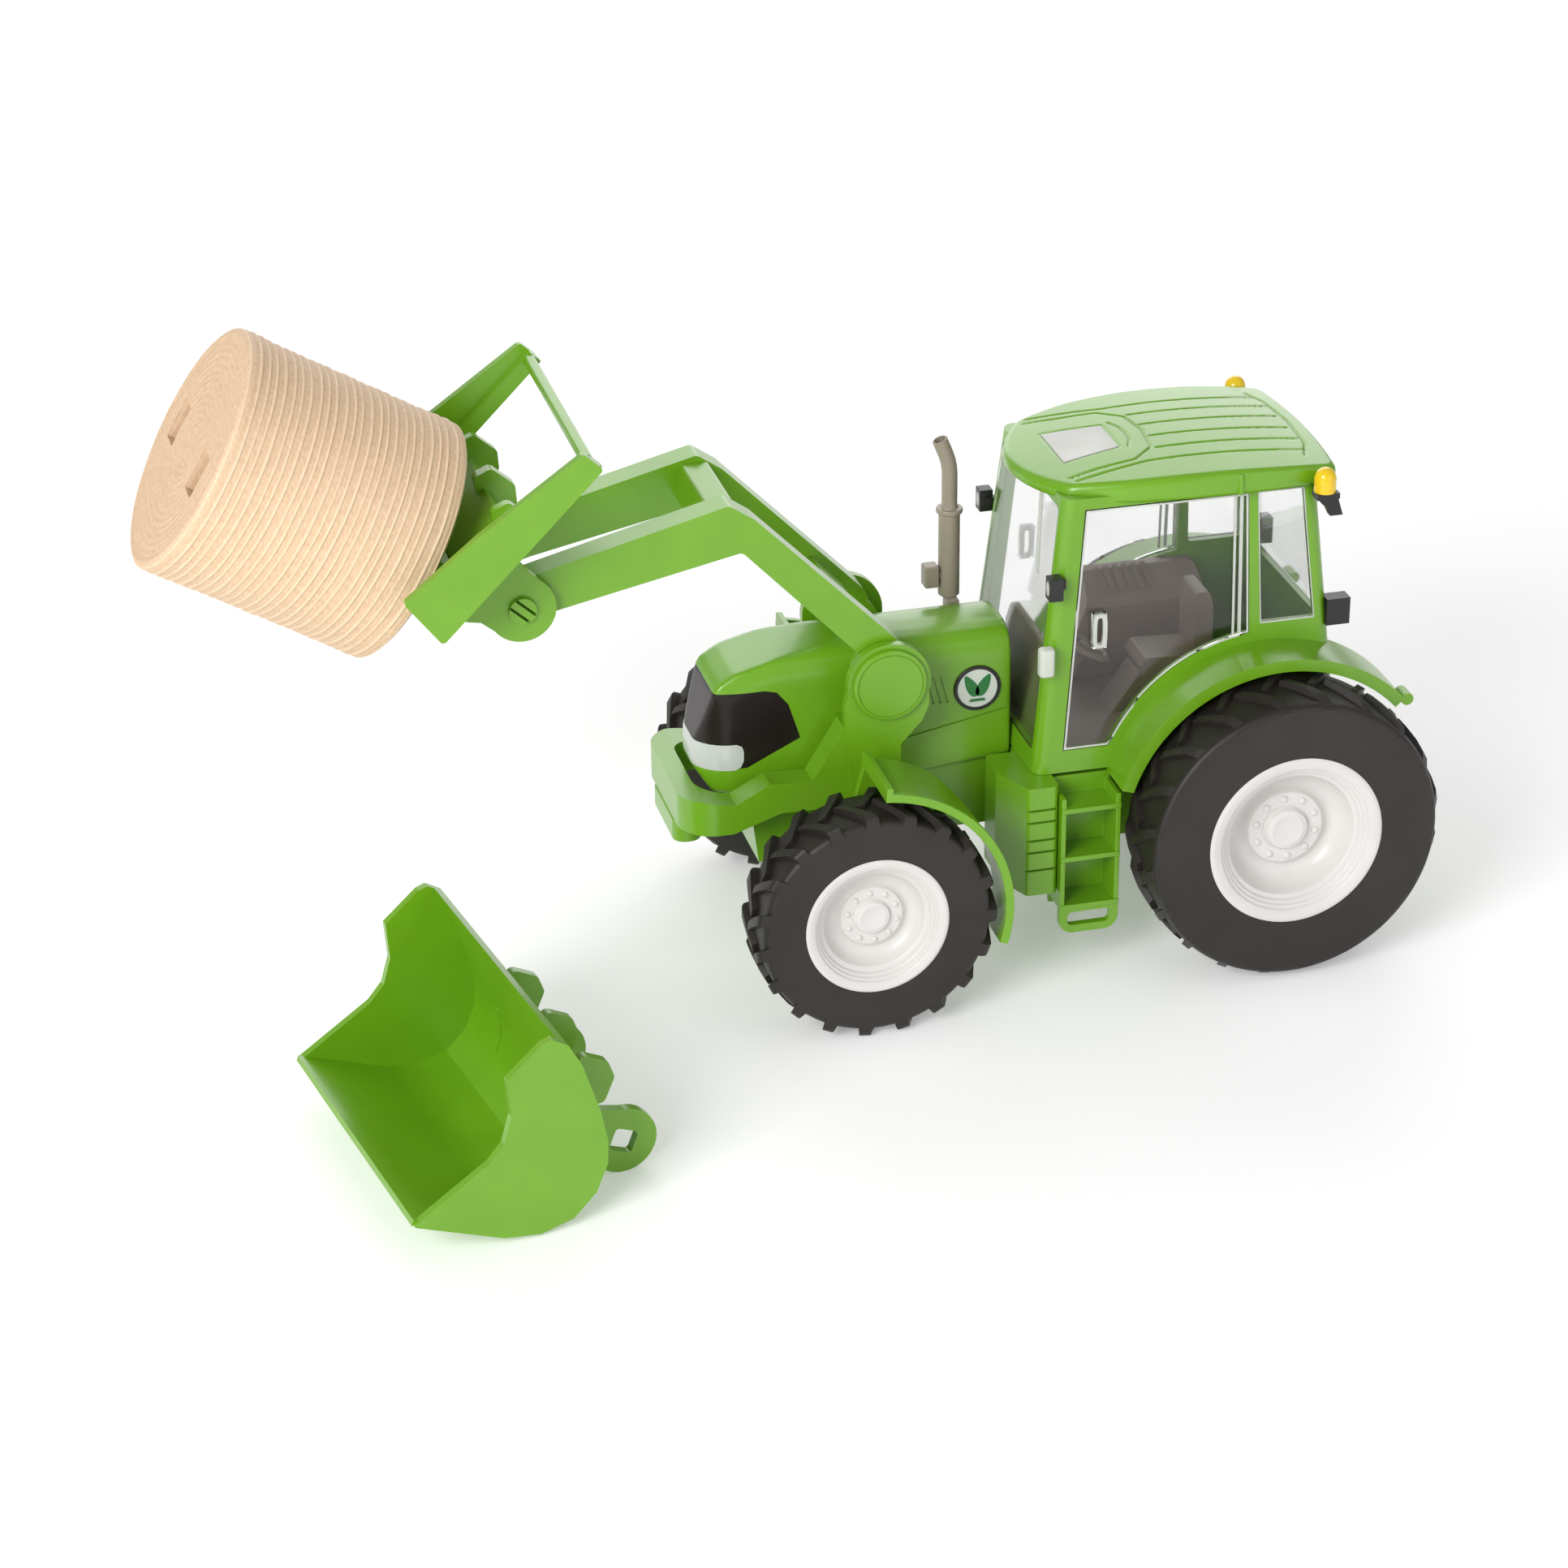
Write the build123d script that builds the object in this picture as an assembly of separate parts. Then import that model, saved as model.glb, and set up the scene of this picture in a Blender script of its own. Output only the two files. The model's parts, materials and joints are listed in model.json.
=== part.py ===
from build123d import *
import os
from math import atan2, cos, degrees, radians, sin

# Toy farm tractor with a front loader, a bale fork carrying a round bale, and a spare bucket.
# Millimetres.  The tractor faces +X, its left side is +Y and up is +Z.  While it is modelled, the
# datum is the ground below the rear axle on the centre line.  The last lines move the whole set so
# that the origin is at the middle of its footprint.

# ---- wheels and axles
WHEELBASE = 129.6
TRACK_FACE = 66.6            # centre line to the outer face of every tyre
REAR_R, REAR_WIDTH, REAR_BEAD = 47.0, 27.0, 26.0
FRONT_R, FRONT_WIDTH, FRONT_BEAD = 36.7, 20.6, 20.8
LUG_HEIGHT = 3.0
LUG_THICK = 3.4
LUG_SLANT = 33.0
REAR_LUGS, FRONT_LUGS = 20, 19
AXLE_R = 2.5
RUNNING_GAP = 0.05
AXLE_END = 50.0
# ---- cab
CAB_LOW_Z, CAB_TOP_Z = 64.0, 150.0
CAB_LOW = (-24.0, 73.0, 36.0)   # rear x, front x and half width at the sill
CAB_TOP = (-15.0, 63.8, 31.4)   # the same at the roof
CAB_WALL = 3.0
GLASS = 1.2
ARCH_R = 55.2                # arc of the door's lower rear edge, about the rear axle
DOOR_GAP = 0.35
GUARD_R, GUARD_Y = 52.2, 50.0  # the rear mudguard's outer radius and outer face
ROOF_SIDE = [(61.0, 27.0), (45.0, 32.8), (25.0, 35.4), (0.0, 35.4), (-20.5, 32.6)]
ROOF_TOPS = (153.0, 156.6, 151.2)  # heights of its centre line at the rear, middle and front
ROOF_RIM_Z = 147.6
ROOF_BEND = 500.0                  # radius of its arch from side to side
# ---- hood
HOOD_HALF = 14.0
HOOD_WALL = 1.8
HOOD_REAR = 73.3
# ---- loader
PIVOT = (115.6, 96.3)        # x and z of the boom's pivot
COUPLER = (224.5, 133.5)     # x and z of the implement pins
PIVOT_PIN_R = 3.5
COUPLER_PIN_R = 4.0
ARM_IN, ARM_OUT = 15.5, 24.5  # a boom arm's inner and outer faces
TOWER_IN, TOWER_OUT = 25.0, 28.0
BOSS_R, CAP_R = 12.7, 11.2
# ---- fork and bale
FORK_HALF = 46.3
PLATE = 2.6
EAR_IN, EAR_OUT = 25.0, 28.0
EAR_R = 10.0
BALE_R, BALE_LENGTH = 37.6, 70.6
BALE_TILT = 30.7
BALE_FACE = (313.0, 182.4)   # x and z of the centre of the bale's outer end
SLOT_Y, SLOT_WIDE, SLOT_TALL = 20.0, 8.6, 12.6
TINE_WIDE, TINE_TALL, TINE_LENGTH = 6.6, 10.4, 52.0
# ---- bucket
BUCKET_HALF = 49.6
BUCKET_WALL = 2.4
BUCKET_PITCH, BUCKET_YAW = -22.0, 9.9
BUCKET_LIP = (292.6, 104.4, 12.95)  # middle of the cutting edge

nodes = {}


def closed_line(corners, radius):
    if radius:
        return FilletPolyline(*corners, radius=radius, close=True)
    return Polyline(*corners, close=True)


def side_plate(points, y_low, y_high, radius=0.0):
    """An XZ outline made into a plate from y_low to y_high."""
    face = make_face(closed_line([(x, y_low, z) for x, z in points], radius))
    return extrude(face, amount=y_high - y_low, dir=(0, 1, 0))


def front_plate(points, x_low, x_high, radius=0.0):
    """A YZ outline made into a plate from x_low to x_high."""
    face = make_face(closed_line([(x_low, y, z) for y, z in points], radius))
    return extrude(face, amount=x_high - x_low, dir=(1, 0, 0))


def top_plate(points, z_low, z_high, radius=0.0):
    """An XY outline made into a plate from z_low to z_high."""
    face = make_face(closed_line([(x, y, z_low) for x, y in points], radius))
    return extrude(face, amount=z_high - z_low, dir=(0, 0, 1))


def block(x_low, x_high, y_low, y_high, z_low, z_high):
    middle = Pos((x_low + x_high) / 2, (y_low + y_high) / 2, (z_low + z_high) / 2)
    return middle * Box(x_high - x_low, y_high - y_low, z_high - z_low)


def rod(radius, x, z, y_low, y_high):
    """A round bar along Y."""
    return Pos(x, (y_low + y_high) / 2, z) * Rot(90, 0, 0) * Cylinder(radius, y_high - y_low)


def around(centre, radius, angle):
    """A point of the XZ plane at an angle from +X towards +Z."""
    return (centre[0] + radius * cos(radians(angle)), centre[1] + radius * sin(radians(angle)))


def arc_band(centre, r_in, r_out, start, end, y_low, y_high):
    """A curved plate between two radii about an axis along Y."""
    def at(radius, angle):
        x, z = around(centre, radius, angle)
        return (x, y_low, z)
    middle = (start + end) / 2
    edges = [
        ThreePointArc(at(r_out, start), at(r_out, middle), at(r_out, end)),
        Line(at(r_out, end), at(r_in, end)),
        ThreePointArc(at(r_in, end), at(r_in, middle), at(r_in, start)),
        Line(at(r_in, start), at(r_out, start)),
    ]
    return extrude(make_face(edges), amount=y_high - y_low, dir=(0, 1, 0))


def turned(profile, x, z, radius=0.0):
    """A closed (radius, y) profile turned about the Y axis through x and z."""
    face = make_face(closed_line([(r, y, 0) for r, y in profile], radius))
    return Pos(x, 0, z) * revolve(face, Axis.Y)


def both_sides(name, left):
    """Keep a left-hand piece and its mirror image as two nodes."""
    nodes[name + "_left"] = left
    nodes[name + "_right"] = mirror(left, about=Plane.XZ)


def with_mirror(left):
    return left + mirror(left, about=Plane.XZ)


# ---- wheels

def tyre(x, radius, width, bead, lugs):
    face, back = TRACK_FACE, TRACK_FACE - width
    tread = radius - LUG_HEIGHT
    carcass = turned(
        [(bead, face - 1.4), (bead + 1.3, face - 1.4), (tread - 7, face), (tread - 2, face - 1),
         (tread, face - 5), (tread, back + 5), (tread - 2, back + 1), (tread - 7, back),
         (bead, back + 1.4)], x, radius)
    length = width / 2 / cos(radians(LUG_SLANT))
    bar = Box(LUG_HEIGHT * 2, length, LUG_THICK)
    bars = []
    for side in (1, -1):
        for step in range(lugs):
            angle = (step + 0.25 * side) * 360 / lugs
            place = Pos(x, face - width / 2 + side * (width / 4), radius) * Rot(0, -angle, 0)
            bars.append(place * Pos(radius - LUG_HEIGHT, 0, 0) * Rot(side * LUG_SLANT, 0, 0) * bar)
    envelope = turned([(bead - 1, face), (tread, face), (radius, face - 3.2), (radius, back + 3.2),
                       (tread, back), (bead - 1, back)], x, radius)
    return (carcass + bars) & envelope


def rim(x, z, bead, width, hub_deep):
    """Dished wheel centre with a bolt ring and a hub cap, bored from behind for the axle."""
    face, back = TRACK_FACE, TRACK_FACE - width
    floor = face - hub_deep
    shell = turned(
        [(bead, back + 1.4), (bead, face - 1.4), (bead + 1.2, face - 1.4), (bead + 1.2, face - 0.7),
         (bead - 1.2, face - 0.7), (bead - 2.2, face - 2.5), (bead * 0.86, face - 4.5),
         (bead * 0.72, face - 6.2), (bead * 0.69, floor), (bead * 0.45, floor),
         (bead * 0.45, floor + 1.6), (bead * 0.27, floor + 1.6), (bead * 0.25, floor + 3.2),
         (0, floor + 3.2), (0, floor - 2.2), (bead * 0.75, floor - 2.2), (bead - 2.0, face - 8.5),
         (bead - 2.0, back + 1.4)], x, z)
    hub = rod(7.0, x, z, back + 1.4, floor - 1.0)
    bolts = [rod(0.9, *around((x, z), bead * 0.37, 36 * k), floor + 1, floor + 2.3) for k in range(10)]
    return shell + hub + bolts - rod(AXLE_R + RUNNING_GAP, x, z, back - 1, AXLE_END + 0.4)


both_sides("rear_tyre", tyre(0, REAR_R, REAR_WIDTH, REAR_BEAD, REAR_LUGS))
both_sides("rear_rim", rim(0, REAR_R, REAR_BEAD, REAR_WIDTH, 12.0))
both_sides("front_tyre", tyre(WHEELBASE, FRONT_R, FRONT_WIDTH, FRONT_BEAD, FRONT_LUGS))
both_sides("front_rim", rim(WHEELBASE, FRONT_R, FRONT_BEAD, FRONT_WIDTH, 9.0))
nodes["rear_axle"] = rod(AXLE_R, 0, REAR_R, -AXLE_END, AXLE_END)
front_beam = block(WHEELBASE - 6, WHEELBASE + 6, -37, 37, FRONT_R - 5.5, FRONT_R + 5.5)
nodes["front_axle"] = front_beam + rod(AXLE_R, WHEELBASE, FRONT_R, -AXLE_END, AXLE_END)

# ---- chassis: gearbox under the cab, engine block under the hood, drawbar hitch at the back

gearbox = side_plate(
    [(-30, 40), (-22, 31), (62, 31), (73, 38), (73, CAB_LOW_Z), (-30, CAB_LOW_Z)], -18, 18, 3)
engine = side_plate(
    [(70, 38), (118, 38), (118, 42.2), (142, 42.2), (142, 34), (152, 34), (154, 50), (154, 57),
     (146, 57), (146, 92), (84, 100), (78, 100), (78, 60), (70, 60)], -12, 12)
saddle = block(118, 124, -12, 12, 34, 45)
axle_tunnel = rod(8.0, 0, REAR_R, -36, 36)
wells = [block(x - 3, x + 3, y - 3, y + 3, 30, 33) for x in (-10, 54) for y in (-11, 11)]
chassis = gearbox + engine + axle_tunnel - rod(AXLE_R, 0, REAR_R, -60, 60) - wells
nodes["chassis"] = chassis + (saddle - front_beam)
screw = Cylinder(2.4, 1.6) - Box(3.6, 0.7, 3, align=(Align.CENTER, Align.CENTER, Align.MAX))
nodes["belly_screws"] = Compound([Pos(x, y, 32.2) * screw for x in (-10, 54) for y in (-11, 11)])
drawbar = top_plate([(-30, -7), (-30, 7), (-50, 4.5), (-50, -4.5)], 41, 45)
drawbar = drawbar + Pos(-50, 0, 43) * Cylinder(4.5, 4)
nodes["drawbar"] = drawbar - Pos(-50, 0, 43) * Cylinder(2.1, 8)

# ---- cab: a tapered shell with door, windscreen, quarter and rear openings

def cab_taper(inset, z_low, z_high):
    """The tapering cab block, moved inwards by inset, between two heights."""
    sections = []
    for z in (z_low, z_high):
        part = (z - CAB_LOW_Z) / (CAB_TOP_Z - CAB_LOW_Z)
        rear, front, half = [low + (top - low) * part for low, top in zip(CAB_LOW, CAB_TOP)]
        rear, front, half = rear + inset, front - inset, half - inset
        corner = max(4.0 - inset, 0.8)
        outline = RectangleRounded(front - rear, 2 * half, corner)
        sections.append(Pos((front + rear) / 2, 0, z) * outline)
    return loft(sections, ruled=True)


def side_at(z):
    """The cab's half width at a height."""
    part = (z - CAB_LOW_Z) / (CAB_TOP_Z - CAB_LOW_Z)
    return CAB_LOW[2] + (CAB_TOP[2] - CAB_LOW[2]) * part


DOOR_REAR = ((5.0, 71.0), (6.6, 146.6))      # the door's rear edge line, x and z
cab_outer = cab_taper(0, CAB_LOW_Z, CAB_TOP_Z)
skin = cab_outer - cab_taper(GLASS, CAB_LOW_Z - 1, CAB_TOP_Z + 1)
wheel_arch = rod(ARCH_R, 0, REAR_R, -45, 45)


def door_opening(gap, y_low, y_high):
    """The door's outline, drawn in from its frame by gap."""
    (x_low, z_low), (x_high, z_high) = DOOR_REAR
    corners = [(x_low + gap, z_low + gap), (64.0 - gap, z_low + gap), (57.4 - gap, z_high - gap),
               (x_high + gap, z_high - gap)]
    return side_plate(corners, y_low, y_high) - rod(ARCH_R + gap, 0, REAR_R, -60, 60)


quarter_opening = side_plate([(-15.0, 104.5), (2.4, 104.5), (4.0, 146.4), (-10.6, 146.4)], -45, 45, 1.2)
front_opening = front_plate([(-31.5, 70.5), (31.5, 70.5), (27.4, 146.6), (-27.4, 146.6)], 50, 80, 2.0)
rear_opening = front_plate([(-29.5, 104.0), (29.5, 104.0), (26.8, 146.4), (-26.8, 146.4)], -30, -6, 2.0)
cab_frame = cab_outer - cab_taper(CAB_WALL, CAB_LOW_Z + 3, CAB_TOP_Z + 1)
cab_frame = cab_frame - door_opening(0, -45, 45) - quarter_opening - front_opening - rear_opening
nodes["cab_frame"] = cab_frame
nodes["windscreen"] = skin & front_opening
nodes["rear_window"] = skin & rear_opening
both_sides("quarter_window", skin & quarter_opening & block(-40, 80, 0, 60, 60, 160))
door = skin & door_opening(DOOR_GAP, 0, 45)
grip_z = 109.0
grip = Pos(53.2, side_at(grip_z) + 0.9, grip_z) * Rot(degrees(atan2(4.6, 86)), 0, 0)
grip_bar = Box(4.4, 2.2, 11) - Pos(0, 1.2, 0) * Box(1.8, 3.2, 8)
both_sides("door", door + grip * grip_bar)

# ---- roof with a clear skylight panel and a pocket below it

front_corner, rear_corner = ROOF_SIDE[0], ROOF_SIDE[-1]
roof_edges = [
    ThreePointArc((*front_corner, 140), (71.4, 0, 140), (front_corner[0], -front_corner[1], 140)),
    Spline([(x, -y, 140) for x, y in ROOF_SIDE]),
    ThreePointArc((rear_corner[0], -rear_corner[1], 140), (-22.5, 0, 140), (*rear_corner, 140)),
    Spline([(x, y, 140) for x, y in reversed(ROOF_SIDE)]),
]
roof_plan = extrude(make_face(roof_edges), amount=30, dir=(0, 0, 1))
roof_plan = fillet(roof_plan.edges().filter_by(Axis.Z), 4.0)
bend_z = ROOF_TOPS[1] - ROOF_BEND
crown_edges = [
    ThreePointArc((-24, 0, ROOF_TOPS[0]), (22, 0, ROOF_TOPS[1]), (73, 0, ROOF_TOPS[2])),
    Line((73, 0, ROOF_TOPS[2]), (73, 0, bend_z)),
    Line((73, 0, bend_z), (-24, 0, bend_z)),
    Line((-24, 0, bend_z), (-24, 0, ROOF_TOPS[0])),
]
dome = revolve(make_face(crown_edges), Axis((0, 0, bend_z), (1, 0, 0)))
roof_solid = roof_plan & dome & block(-30, 80, -40, 40, ROOF_RIM_Z, 170)
roof_body = roof_solid - cab_taper(0, 140, CAB_TOP_Z) - block(-12, 58, -27, 27, CAB_TOP_Z - 1, 151.6)
SKYLIGHT = [(39.6, -8.6), (39.6, 8.6), (57.6, 11.4), (57.6, -11.4)]
skylight_shaft = top_plate(SKYLIGHT, 140, 170)
nodes["cab_roof"] = roof_body - skylight_shaft
nodes["skylight"] = (roof_solid & skylight_shaft) - block(0, 70, -20, 20, 140, 153.4)

# ---- inside the cab

floor = cab_taper(CAB_WALL + 0.1, CAB_LOW_Z + 3, CAB_LOW_Z + 5)
console = side_plate([(2, 69), (47, 69), (44, 84), (38, 100.4), (35, 101.4), (2, 100)], -31, -14, 1.0)
desk = front_plate([(-31, 69), (-15, 69), (-15, 93), (-17, 95.4), (-27, 100.4), (-31, 101)], 0, 50, 1.2)
console = console & desk & cab_taper(CAB_WALL + 0.3, CAB_LOW_Z + 4, CAB_TOP_Z)
ribs = [block(18 + 3 * k, 19.4 + 3 * k, -27, -18, 90, 103) for k in range(6)]
dash = side_plate([(60.4, 69), (66.4, 69), (65, 92), (63.4, 97), (60.4, 97)], -17, 19, 1.2)
nodes["interior_tub"] = floor + console + (Compound(ribs) & Pos(0, 0, 1) * console) + dash
pedestal = side_plate([(9, 69), (40, 69), (31, 82), (9, 82)], -2, 10)
cushion = side_plate([(9, 80), (31, 80), (32, 84), (30, 87), (9, 86)], -4, 12, 1.5)
backrest = side_plate([(8.6, 84), (14, 84), (15, 101), (14, 106), (10, 106), (8.6, 101)], -3, 10.5, 1.4)
nodes["seat"] = pedestal + cushion + backrest
column_axis = Pos(50, 4, 84) * Rot(0, -28, 0)
column = column_axis * Pos(0, 0, -5.5) * Cylinder(1.4, 22)
wheel_ring = column_axis * Pos(0, 0, 6) * (Torus(7.2, 1.0) + Box(14, 1.6, 1.4) + Cylinder(2.2, 2.4))
nodes["steering_wheel"] = (column - block(30, 70, -10, 20, 50, 69)) + wheel_ring

# ---- hood, nose grille, headlight band and badges

hood_side = [
    (HOOD_REAR, 61.5), (HOOD_REAR, 103.2), (105, 103.4), (128, 102.7), (146, 100.6), (158, 97.6),
    (163.8, 94.2), (165.6, 91.4), (170.6, 75.4), (171.6, 72), (171.2, 67), (166, 59.4), (150, 57.2),
    (124, 56.6)]
hood_plan_edges = [
    Line((HOOD_REAR, -HOOD_HALF, 50), (158.5, -HOOD_HALF, 50)),
    ThreePointArc((158.5, -HOOD_HALF, 50), (168.6, -9.6, 50), (171.6, 0, 50)),
    ThreePointArc((171.6, 0, 50), (168.6, 9.6, 50), (158.5, HOOD_HALF, 50)),
    Line((158.5, HOOD_HALF, 50), (HOOD_REAR, HOOD_HALF, 50)),
    Line((HOOD_REAR, HOOD_HALF, 50), (HOOD_REAR, -HOOD_HALF, 50))]
hood_plan = extrude(make_face(hood_plan_edges), amount=60, dir=(0, 0, 1))
hood_section = front_plate(
    [(-HOOD_HALF, 50), (HOOD_HALF, 50), (HOOD_HALF, 95.5), (13, 99.6), (10.5, 101.9), (6, 103.0),
     (0, 103.4), (-6, 103.0), (-10.5, 101.9), (-13, 99.6), (-HOOD_HALF, 95.5)], HOOD_REAR, 175)
shoulder = side_plate([(120, 101), (146, 97.5), (160, 90), (180, 78), (180, 130), (120, 130)], 12.4, 20)
nose = (side_plate(hood_side, -20, 20) & hood_plan & hood_section) - with_mirror(shoulder)
hollow = side_plate([(70, 50), (70, 100.6), (128, 99.6), (146, 97.2), (156, 89), (158, 50)],
                    -HOOD_HALF + HOOD_WALL, HOOD_HALF - HOOD_WALL)
grille_zone = side_plate([(139, 75.2), (142.6, 87), (146, 91.2), (180, 91.2), (180, 75.2)], -20, 20)
lens_zone = side_plate([(156.5, 66.6), (156.5, 75.2), (180, 75.2), (180, 66.6)], -20, 20)
nodes["hood"] = nose - hollow - grille_zone - lens_zone
nodes["grille"] = (nose & grille_zone) - hollow
nodes["headlight"] = (nose & lens_zone) - hollow
badge = rod(7.3, 84.3, 84.8, HOOD_HALF, HOOD_HALF + 0.8)
nodes["hood_badges"] = Compound(with_mirror(badge).solids())

# ---- exhaust, lamps and beacons

STACK_X, STACK_Y = 83.4, -19.6
stack = Pos(STACK_X, STACK_Y, 0) * Pos(0, 0, 115) * Cylinder(3.3, 28)
stack = stack + Pos(STACK_X, STACK_Y, 129) * Cylinder(4.1, 1.6)
stack = stack + Pos(STACK_X, STACK_Y, 136.5) * Cylinder(2.4, 15)
stack = stack + Pos(STACK_X, STACK_Y, 144) * Rot(0, 22, 0) * Pos(0, 0, 4.6) * Cylinder(2.4, 9.6)
stack = stack + Pos(STACK_X, STACK_Y, 144) * Sphere(2.6)
clamp = block(STACK_X - 1.2, STACK_X + 7.4, STACK_Y - 1.5, STACK_Y + 1.5, 107, 109)
clamp = clamp + block(STACK_X + 3.6, STACK_X + 8.2, STACK_Y - 2.6, STACK_Y + 2.6, 104.5, 111.5)
bracket = block(STACK_X - 2, STACK_X + 2, STACK_Y, -HOOD_HALF, 96, 101)
nodes["exhaust_stack"] = stack + clamp + bracket

lamp = block(65.4, 69.6, 33.0, 37.6, 121, 128)
lamp_foot = block(63.5, 68, 31.6, 34.0, 123, 126)
both_sides("work_lamp", (lamp + lamp_foot) - cab_outer)
marker = block(67.6, 72.4, 34.6, 38.6, 97, 106)
marker = fillet(marker.edges().filter_by(Axis.Z), 1.4)
nodes["marker_lamp"] = marker - cab_outer
tail_lamp = block(-26, -18.6, 29.5, 34.5, 101.5, 110)
both_sides("tail_lamp", tail_lamp - cab_outer)
BEACON = (-14.2, 38.6)
beacon = Pos(*BEACON, 149.6) * Cylinder(3.3, 4.4) + Pos(*BEACON, 151.6) * Sphere(3.2)
both_sides("beacon", beacon & block(-30, 0, 30, 50, 147.4, 160) - roof_solid)
holder = block(-18, -11, 36.9, 41.4, 145.6, 147.4) + side_plate(
    [(-13, 146), (-16, 139.5), (-20, 139.5), (-18, 146)], 36.9, 39.4)
holder = holder + block(-17.4, -13.6, 30, 39.4, 143.2, 147.0)
nodes["beacon_holders"] = Compound(with_mirror(holder - cab_outer - roof_solid).solids())

# ---- mudguards

guard = arc_band((0, REAR_R), 50.2, GUARD_R, 17.5, 138, 30, GUARD_Y)
lip = arc_band((0, REAR_R), 48.4, GUARD_R, 17.5, 138, GUARD_Y - 2.4, GUARD_Y)
stub = rod(1.9, *around((0, REAR_R), 52.6, 139), GUARD_Y - 6, GUARD_Y)
both_sides("rear_mudguard", (guard + lip + stub) - cab_outer)
wing_centre = (WHEELBASE, FRONT_R)
wing = arc_band(wing_centre, 39.6, 41.4, 94, 197, 37.5, 64.5)
wing = wing + arc_band(wing_centre, 39.6, 42.2, 94, 197, 62.2, 64.5)
wing = wing + arc_band(wing_centre, 39.6, 44.0, 94, 96.6, 37.5, 64.5)
wing_cut = top_plate([(106, 30), (106, 37.4), (92, 50), (80, 50), (80, 30)], 0, 90)
wing_web = side_plate([(124, 31.2), (135, 31.2), (135, 43), (126, 78), (110, 72), (118, 43)], 37, 39.6)
both_sides("front_mudguard", wing + (wing_web & rod(40.8, *wing_centre, 30, 70)) - rod(
    AXLE_R, *wing_centre, 30, 70) - wing_cut)

# ---- tanks and steps below the cab doors

tank = top_plate([(67.4, 18), (67.4, 44), (77, 44), (83, 30), (83, 18)], 28, 63.8, 1.8)
tank_round = side_plate([(60, 20), (76, 20), (90, 40), (90, 70), (60, 70)], 10, 50, 6.0)
tank = tank & tank_round
bands = [block(67, 90, 42.9, 46, z, z + 0.8) for z in (36, 42, 46, 52, 56)]
both_sides("fuel_tank", tank - bands)
step_frame = block(48.6, 67.2, 33.4, 35.0, 20, 62.4)
for wall_x in (48.6, 65.7):
    step_frame = step_frame + block(wall_x, wall_x + 1.5, 33.4, 46, 22.8, 60)
treads = [block(48.6, 67.2, 33.4, 46.4, z, z + 1.6) for z in (22.8, 39.0, 55.2)]
stirrup = side_plate([(48.6, 14.6), (67.2, 14.6), (67.2, 30), (48.6, 30)], 43.4, 46, 4.4)
stirrup = stirrup - side_plate([(51.2, 17.2), (64.6, 17.2), (64.6, 21.6), (51.2, 21.6)], 40, 50, 1.5)
stirrup = stirrup - block(50.1, 65.7, 40, 50, 24.4, 31)
hanger = block(52, 63, 18.0, 33.5, 50, 60)
both_sides("step", step_frame + treads + stirrup + hanger)

# ---- loader frame: a tower on each side and a guard round the nose

strut_side = [
    (112, 60), (124, 56), (137, 57.5), (148.7, 57.6), (154.8, 55.5), (163.2, 52.5), (180, 52.5),
    (180, 63.6), (172, 63.6), (162.4, 61.9), (152, 67.5), (139.1, 67.0), (129.2, 83), (118, 84),
    (112, 78)]
loop_outer = top_plate([(90, -28), (178.2, -27), (178.2, 27), (90, 28)], 40, 100, 11.0)
loop_inner = top_plate([(80, -18.4), (172.2, -18.4), (172.2, 18.4), (80, 18.4)], 39, 101, 8.0)
loop = (loop_outer - loop_inner) & side_plate(strut_side, -40, 40)
tower = side_plate([(103.4, 96), (103.4, 88), (105.6, 82.8), (116.5, 74), (129, 78), (129.2, 90),
                    (127.6, 96)], TOWER_IN, TOWER_OUT)
tower = tower + rod(BOSS_R, *PIVOT, TOWER_IN, TOWER_OUT)
tower_body = side_plate([(112, 46), (127, 46), (128.6, 82), (106.5, 82), (112, 76)], 14.3, TOWER_OUT)
tower_foot = block(112, 127, 12, 16, 46, 55.5)
inner_ear = side_plate([(107, 80), (127, 80), (122, 100), (109, 100)], 14.3, 15.2)
tower = tower + tower_body + tower_foot + inner_ear - rod(PIVOT_PIN_R, *PIVOT, 0, 40)
nodes["loader_frame"] = loop + with_mirror(tower)
bumper = fillet(block(169.6, 178.6, -15, 15, 45.2, 52.5).edges().filter_by(Axis.Z), 4.0)
nodes["bumper"] = bumper + (block(150, 173, -6, 6, 45.2, 50) - nodes["chassis"])
pivot_pin = rod(PIVOT_PIN_R, *PIVOT, 14.3, TOWER_OUT + 0.5) + rod(CAP_R, *PIVOT, TOWER_OUT, TOWER_OUT + 1.8)
both_sides("pivot_pin", pivot_pin)

# ---- boom: two cranked arms, two cross plates and a split pin at the end of each arm

arm_line = [
    (109.2, 104.0), (111.6, 108.0), (154.8, 151.7), (162.5, 157.0), (215.5, 143.4), (224, 141.2),
    (230.2, 136.5), (229.6, 129.6), (224, 127.4), (213.8, 130.4), (158.8, 142.0), (122.4, 103.8),
    (120, 98)]
arm = side_plate(arm_line, ARM_IN, ARM_OUT, 2.2) + rod(9.0, *PIVOT, ARM_IN, ARM_OUT)
arm = arm - rod(PIVOT_PIN_R + RUNNING_GAP, *PIVOT, 0, 40)
snap = rod(COUPLER_PIN_R, *COUPLER, ARM_OUT - 1, EAR_OUT + 1.6)
snap_axis = Pos(COUPLER[0], EAR_OUT + 1.0, COUPLER[1]) * Rot(0, 48, 0)
slits = [snap_axis * Pos(dx, 0, 0) * Box(0.8, 5.6, 7.4) for dx in (-1.4, 1.4)]
knee_plate = side_plate([(158.6, 154.9), (167.4, 154.9), (170.2, 144.5), (162, 144.5)], -ARM_IN, ARM_IN, 1.2)
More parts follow.
